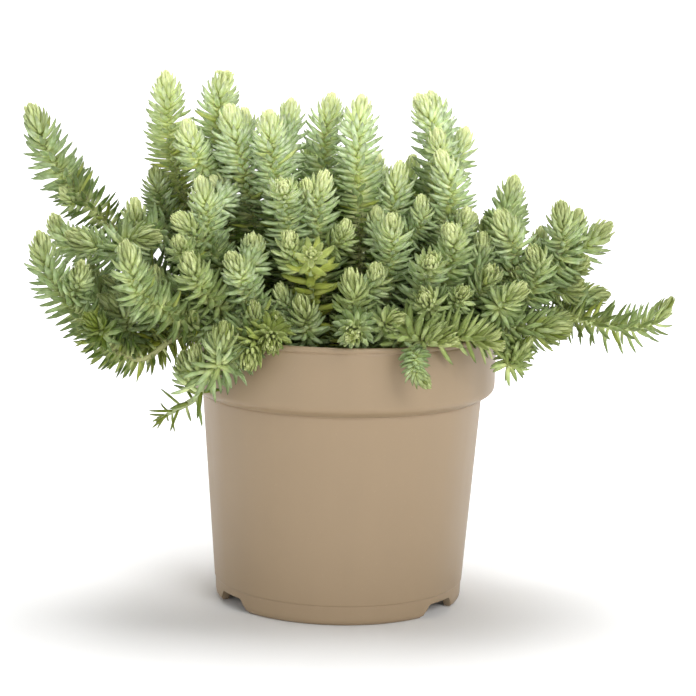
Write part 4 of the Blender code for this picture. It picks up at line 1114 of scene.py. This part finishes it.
def add_leaves(body, track, apex, lowest, look, plant, draw, room):
    """Grows leaves round a shoot in a spiral: each stands a golden angle on from the one before."""
    grid = np.linspace(0.0, DEPTHS[-1], 400)
    density = np.interp(grid, DEPTHS, LEAVES_PER_MM) * look.full \
        * np.interp(grid, (look.bare, look.bare + BARE_FADE), (1.0, BARE_SHARE))
    counts = np.cumsum(density) * (grid[1] - grid[0])
    count = int(np.interp(min(lowest / look.size, DEPTHS[-1]), grid, counts))
    number = np.arange(count)
    depth = np.interp(number + 0.5, counts, grid)

    def by_depth(*table):
        return np.interp(depth, *(table if len(table) == 2 else (DEPTHS, *table)))

    def vary(least, most):
        return draw.uniform(least, most, count)

    spot, tangent, normal, binormal = track.at(apex - depth * look.size)
    turn = number * GOLDEN_ANGLE + draw.uniform(0.0, math.tau) + draw.normal(0.0, TURN_SPREAD, count)
    outward = normal * np.cos(turn)[:, None] + binormal * np.sin(turn)[:, None]
    above = np.array([0.0, 0.0, 1.0]) - tangent * tangent[:, 2:]
    outward = unit(outward + above * look.gathered)
    spread = draw.normal(0.0, ANGLE_SPREAD, count) * by_depth((0.0, 14.0), (0.5, 1.0))
    grown = by_depth((6.0, 20.0), (0.0, 1.0))
    first = by_depth(FIRST_ANGLES) * (1.0 - 0.3 * look.upright * grown) + spread
    last = by_depth(LAST_ANGLES) * (1.0 - 0.6 * look.upright * grown) + spread * 1.6
    last += look.opened * np.maximum(0.0, OPENED_ANGLE - last) * by_depth((0.0, 5.0), (0.2, 1.0))
    length = by_depth(LENGTHS) * vary(*LEAF_SIZES)
    length *= plant.leaf_length / MM * look.size \
        * (1.0 + (look.longer - 1.0) * by_depth((0.0, 20.0), (0.4, 1.0)))
    breadth = by_depth(BREADTHS) * look.wider * math.sqrt(look.size)
    width = plant.leaf_width / MM * breadth * vary(*LEAF_SIZES)
    thickness = plant.leaf_thickness / MM * breadth * vary(0.92, 1.08)
    base = spot + outward * (by_depth(STEM_RADII) * look.size - LEAF_ROOT)[:, None]

    def stand(fold):
        """The leaves' places, directions, first angles, turns (which are never 0) and lengths."""
        turns = np.radians(last - first + fold * FOLD_BEND) + 1e-4
        return base, outward, tangent, np.radians(first + fold), turns, length

    kept = np.zeros(count, bool)
    fold = np.zeros(count)
    for angle in FOLDS:
        line = np.stack([leaf_line(share, *stand(angle))[0] for share in (0.25, 0.5, 0.75, 1.0)], axis=1)
        outside = ((line < room[0]) | (line > room[1])).any(axis=(1, 2))
        clear = ~outside & ~near_pot(line, LEAF_TO_POT).any(axis=1)
        fold[clear & ~kept] = angle
        kept |= clear
    # A leaf's tone is partly chance and partly painted light and shade by where it stands, and shoots
    # given painted shade take some off.
    age = by_depth(LEAF_AGES)
    height = np.interp(base[:, 2], LIT_HEIGHTS, (0.0, 1.0))
    light = height * np.interp(base[:, 0], *LIT_ACROSS) - np.interp(base[:, 0], *RIGHT_SHADE)
    tone = 0.17 + 0.83 * (0.45 * vary(0.0, 1.0) + 0.55 * light) - 0.34 * look.dark
    tone -= LOW_BUD_SHADE * np.interp(age, (0.2, 0.5), (1.0, 0.0)) * (1.0 - height)
    # The bloom is real wax by age, made stronger as painted sheen where the painted light is strong.
    wax = np.clip(0.75 - 0.5 * look.yellow, 0.1, 1.0) * np.interp(age, *WAX_BY_AGE) \
        * np.clip(0.6 + 0.8 * light, 0.3, 1.3)
    warm = np.clip(look.yellow, 0.0, 1.0) * np.interp(age, (0.0, 0.35, 0.6), (0.0, 0.3, 0.95))
    turned = vary(0.0, 1.0) < np.interp(age, *YELLOW_BY_AGE)
    values = {"age": age, "tone": tone, "wax": wax, "yellow": np.clip(warm + 0.55 * turned, 0.0, 1.0)}
    fine = depth < OLDEST_FINE_LEAF
    for rings, sides, chosen in ((FINE_RINGS, FINE_SIDES, kept & fine),
                                 (PLAIN_RINGS, PLAIN_SIDES, kept & ~fine)):
        points = leaf_points(
            rings, sides, *(rows[chosen] for rows in (width, thickness, *stand(fold))))
        shares = np.repeat([ring[0] for ring in rings], sides)
        body.add(points, tube_faces(len(points), len(rings), sides), along=np.append(shares, 1.0),
                 **{name: value[chosen][:, None] for name, value in values.items()})


def add_stem(body, track, apex, look, draw):
    """A tube of circles round the path, a little uneven, which thins towards the bud."""
    marks = np.linspace(0.0, apex, max(4, int(apex / STEM_STEP)))
    spot, tangent, normal, binormal = track.at(marks)
    turn = np.arange(STEM_SIDES) * math.tau / STEM_SIDES
    depth = (apex - marks) / look.size
    radius = np.interp(depth, DEPTHS, STEM_RADII)[:, None] * look.size \
        * draw.uniform(0.94, 1.05, (len(marks), STEM_SIDES))
    ring = spot[:, None] + radius[..., None] * (
        normal[:, None] * np.cos(turn)[:, None] + binormal[:, None] * np.sin(turn)[:, None])
    tip = track.at(np.array([apex + 0.8]))[0]
    age = np.append(np.repeat(np.interp(depth, DEPTHS, LEAF_AGES), STEM_SIDES), 0.0)
    # A shoot's painted shade darkens its stem's tone too.
    body.add(np.concatenate([ring.reshape(-1, 3), tip]), tube_faces(1, len(marks), STEM_SIDES), mark=1,
             age=age, along=0.0, tone=1.0 - look.dark, wax=0.0, yellow=0.0)


class StonecropStems(bpy.types.Operator):
    """Makes each leafy stem in place of its solid"""

    bl_idname = "stonecrop.stems"
    bl_label = "Leafy Stems"

    def execute(self, context):
        plant = context.scene.stonecrop_plant
        materials = leaf_material(plant), stem_material(plant)
        low, high = np.array(FRAME_BOX) / MM
        room = low + INSIDE_BOX, high - INSIDE_BOX
        for core in route_stems():
            number = core.owner + 1
            node = f"leafy_stem_{number:02d}"
            draw = np.random.default_rng(SEED * 100 + number)
            body = Surface("age", "along", "tone", "wax", "yellow")
            for shoot, kind, path in core.shoots:
                look = Look(draw.normal(0.0, YELLOW_SPREAD), draw.uniform(*SIZES[min(shoot, 1)]))
                look = SHOOT_LOOKS.get((number, shoot), look)
                track = Track(path)
                apex = track.along[-1] - BUD_ABOVE * look.size
                lowest = apex - (ROOT_COVER if kind is ROOTED else BRANCH_NECK)
                add_leaves(body, track, apex, lowest, look, plant, draw, room)
                add_stem(body, track, apex, look, draw)
            self.refuse_astray(core, node)
            piece = body.to_object(f"stonecrop_stem_{number:02d}", *materials)
            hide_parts(node)
            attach(piece, "root")
        return {"FINISHED"}

    def refuse_astray(self, core, node):
        """Stops where a stem's paths leave the box of the solid that it stands for."""
        low, high = (np.array(corner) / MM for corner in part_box(node))
        points = np.concatenate([path for _, _, path in core.shoots])
        if (points < low - ASTRAY).any() or (points > high + ASTRAY).any():
            raise ValueError(f"{node} runs elsewhere than its solid")


class StonecropStage(bpy.types.Operator):
    """Sets the floor, the studio lights and the camera"""

    bl_idname = "stonecrop.stage"
    bl_label = "Stage"

    def execute(self, context):
        stage = context.scene.stonecrop_stage
        self.lay_floor(stage)
        for name, place, size in LIGHTS:
            data = bpy.data.lights.new(name, "AREA")
            data.size = size
            data.energy = getattr(stage, name)
            light = bpy.data.objects.new(name, data)
            light.location = place
            ahead = Vector(LIT_POINT) - light.location
            light.rotation_euler = ahead.to_track_quat("-Z", "Y").to_euler()
            context.scene.collection.objects.link(light)
        world = bpy.data.worlds.new("studio")
        world.use_nodes = True
        background = world.node_tree.nodes["Background"]
        background.inputs["Color"].default_value = (1.0, 1.0, 1.0, 1.0)
        background.inputs["Strength"].default_value = stage.sky
        context.scene.world = world
        context.scene.view_settings.view_transform = "Standard"
        self.add_camera(context.scene)
        return {"FINISHED"}

    def lay_floor(self, stage):
        """A round sheet that runs flat, then up a quarter circle into a low wall."""
        bend = np.radians(np.linspace(0.0, 90.0, 25))
        out = WALL_RADIUS - WALL_BEND + WALL_BEND * np.sin(bend)
        curve = np.stack([out, WALL_BEND - WALL_BEND * np.cos(bend)], axis=1)
        profile = np.concatenate([[[0.02, 0.0], [1.0, 0.0]], curve, [[WALL_RADIUS, WALL_TOP]]])
        grid = lathe(profile, FLOOR_SEGMENTS)
        index = np.arange(grid.shape[0] * FLOOR_SEGMENTS).reshape(-1, FLOOR_SEGMENTS)
        beside = np.roll(index, -1, axis=1)
        quads = np.stack([index[:-1], index[1:], beside[1:], beside[:-1]], axis=-1)
        sheet = Surface()
        sheet.add(grid.reshape(-1, 3) / MM, [quads.reshape(-1, 4), index[:1]])
        sheet.to_object("floor", floor_material(stage))

    def add_camera(self, scene):
        """The photograph's camera: a long lens a little above the plant, turned a degree on its axis."""
        data = bpy.data.cameras.new("camera")
        data.sensor_width = 36.0
        data.lens = CAMERA_LENS
        camera = bpy.data.objects.new("camera", data)
        looking = Matrix.Rotation(math.pi / 2.0 - CAMERA_PITCH, 4, "X")
        rolled = Matrix.Rotation(CAMERA_ROLL, 4, "Z")
        camera.matrix_world = Matrix.Translation(CAMERA_PLACE) @ looking @ rolled
        scene.collection.objects.link(camera)
        scene.camera = camera


class StonecropPanel(bpy.types.Panel):
    """The plant's parts and their settings"""

    bl_idname = "VIEW3D_PT_stonecrop"
    bl_label = "Potted Stonecrop"
    bl_space_type = "VIEW_3D"
    bl_region_type = "UI"
    bl_category = "Stonecrop"

    def draw(self, context):
        for key, (_, operator) in PARTS.items():
            box = self.layout.box()
            group = getattr(context.scene, key)
            for name in group.bl_rna.properties.keys():
                if name not in ("rna_type", "name"):
                    box.prop(group, name)
            box.operator(operator.bl_idname)


# The scene's settings by name, each with the operator that reads them
PARTS = {
    "stonecrop_pot": (PotSettings, StonecropPot),
    "stonecrop_soil": (SoilSettings, StonecropSoil),
    "stonecrop_plant": (PlantSettings, StonecropStems),
    "stonecrop_stage": (StageSettings, StonecropStage),
}
CLASSES = [kind for pair in PARTS.values() for kind in pair] + [StonecropPanel]


def register():
    for kind in CLASSES:
        bpy.utils.register_class(kind)
    for key, (settings, _) in PARTS.items():
        setattr(bpy.types.Scene, key, PointerProperty(type=settings))


def unregister():
    for key in PARTS:
        delattr(bpy.types.Scene, key)
    for kind in reversed(CLASSES):
        bpy.utils.unregister_class(kind)


def main():
    register()
    bpy.ops.stonecrop.stage()
    bpy.ops.stonecrop.pot()
    bpy.ops.stonecrop.soil()
    bpy.ops.stonecrop.stems()


if __name__ == "__main__":
    main()
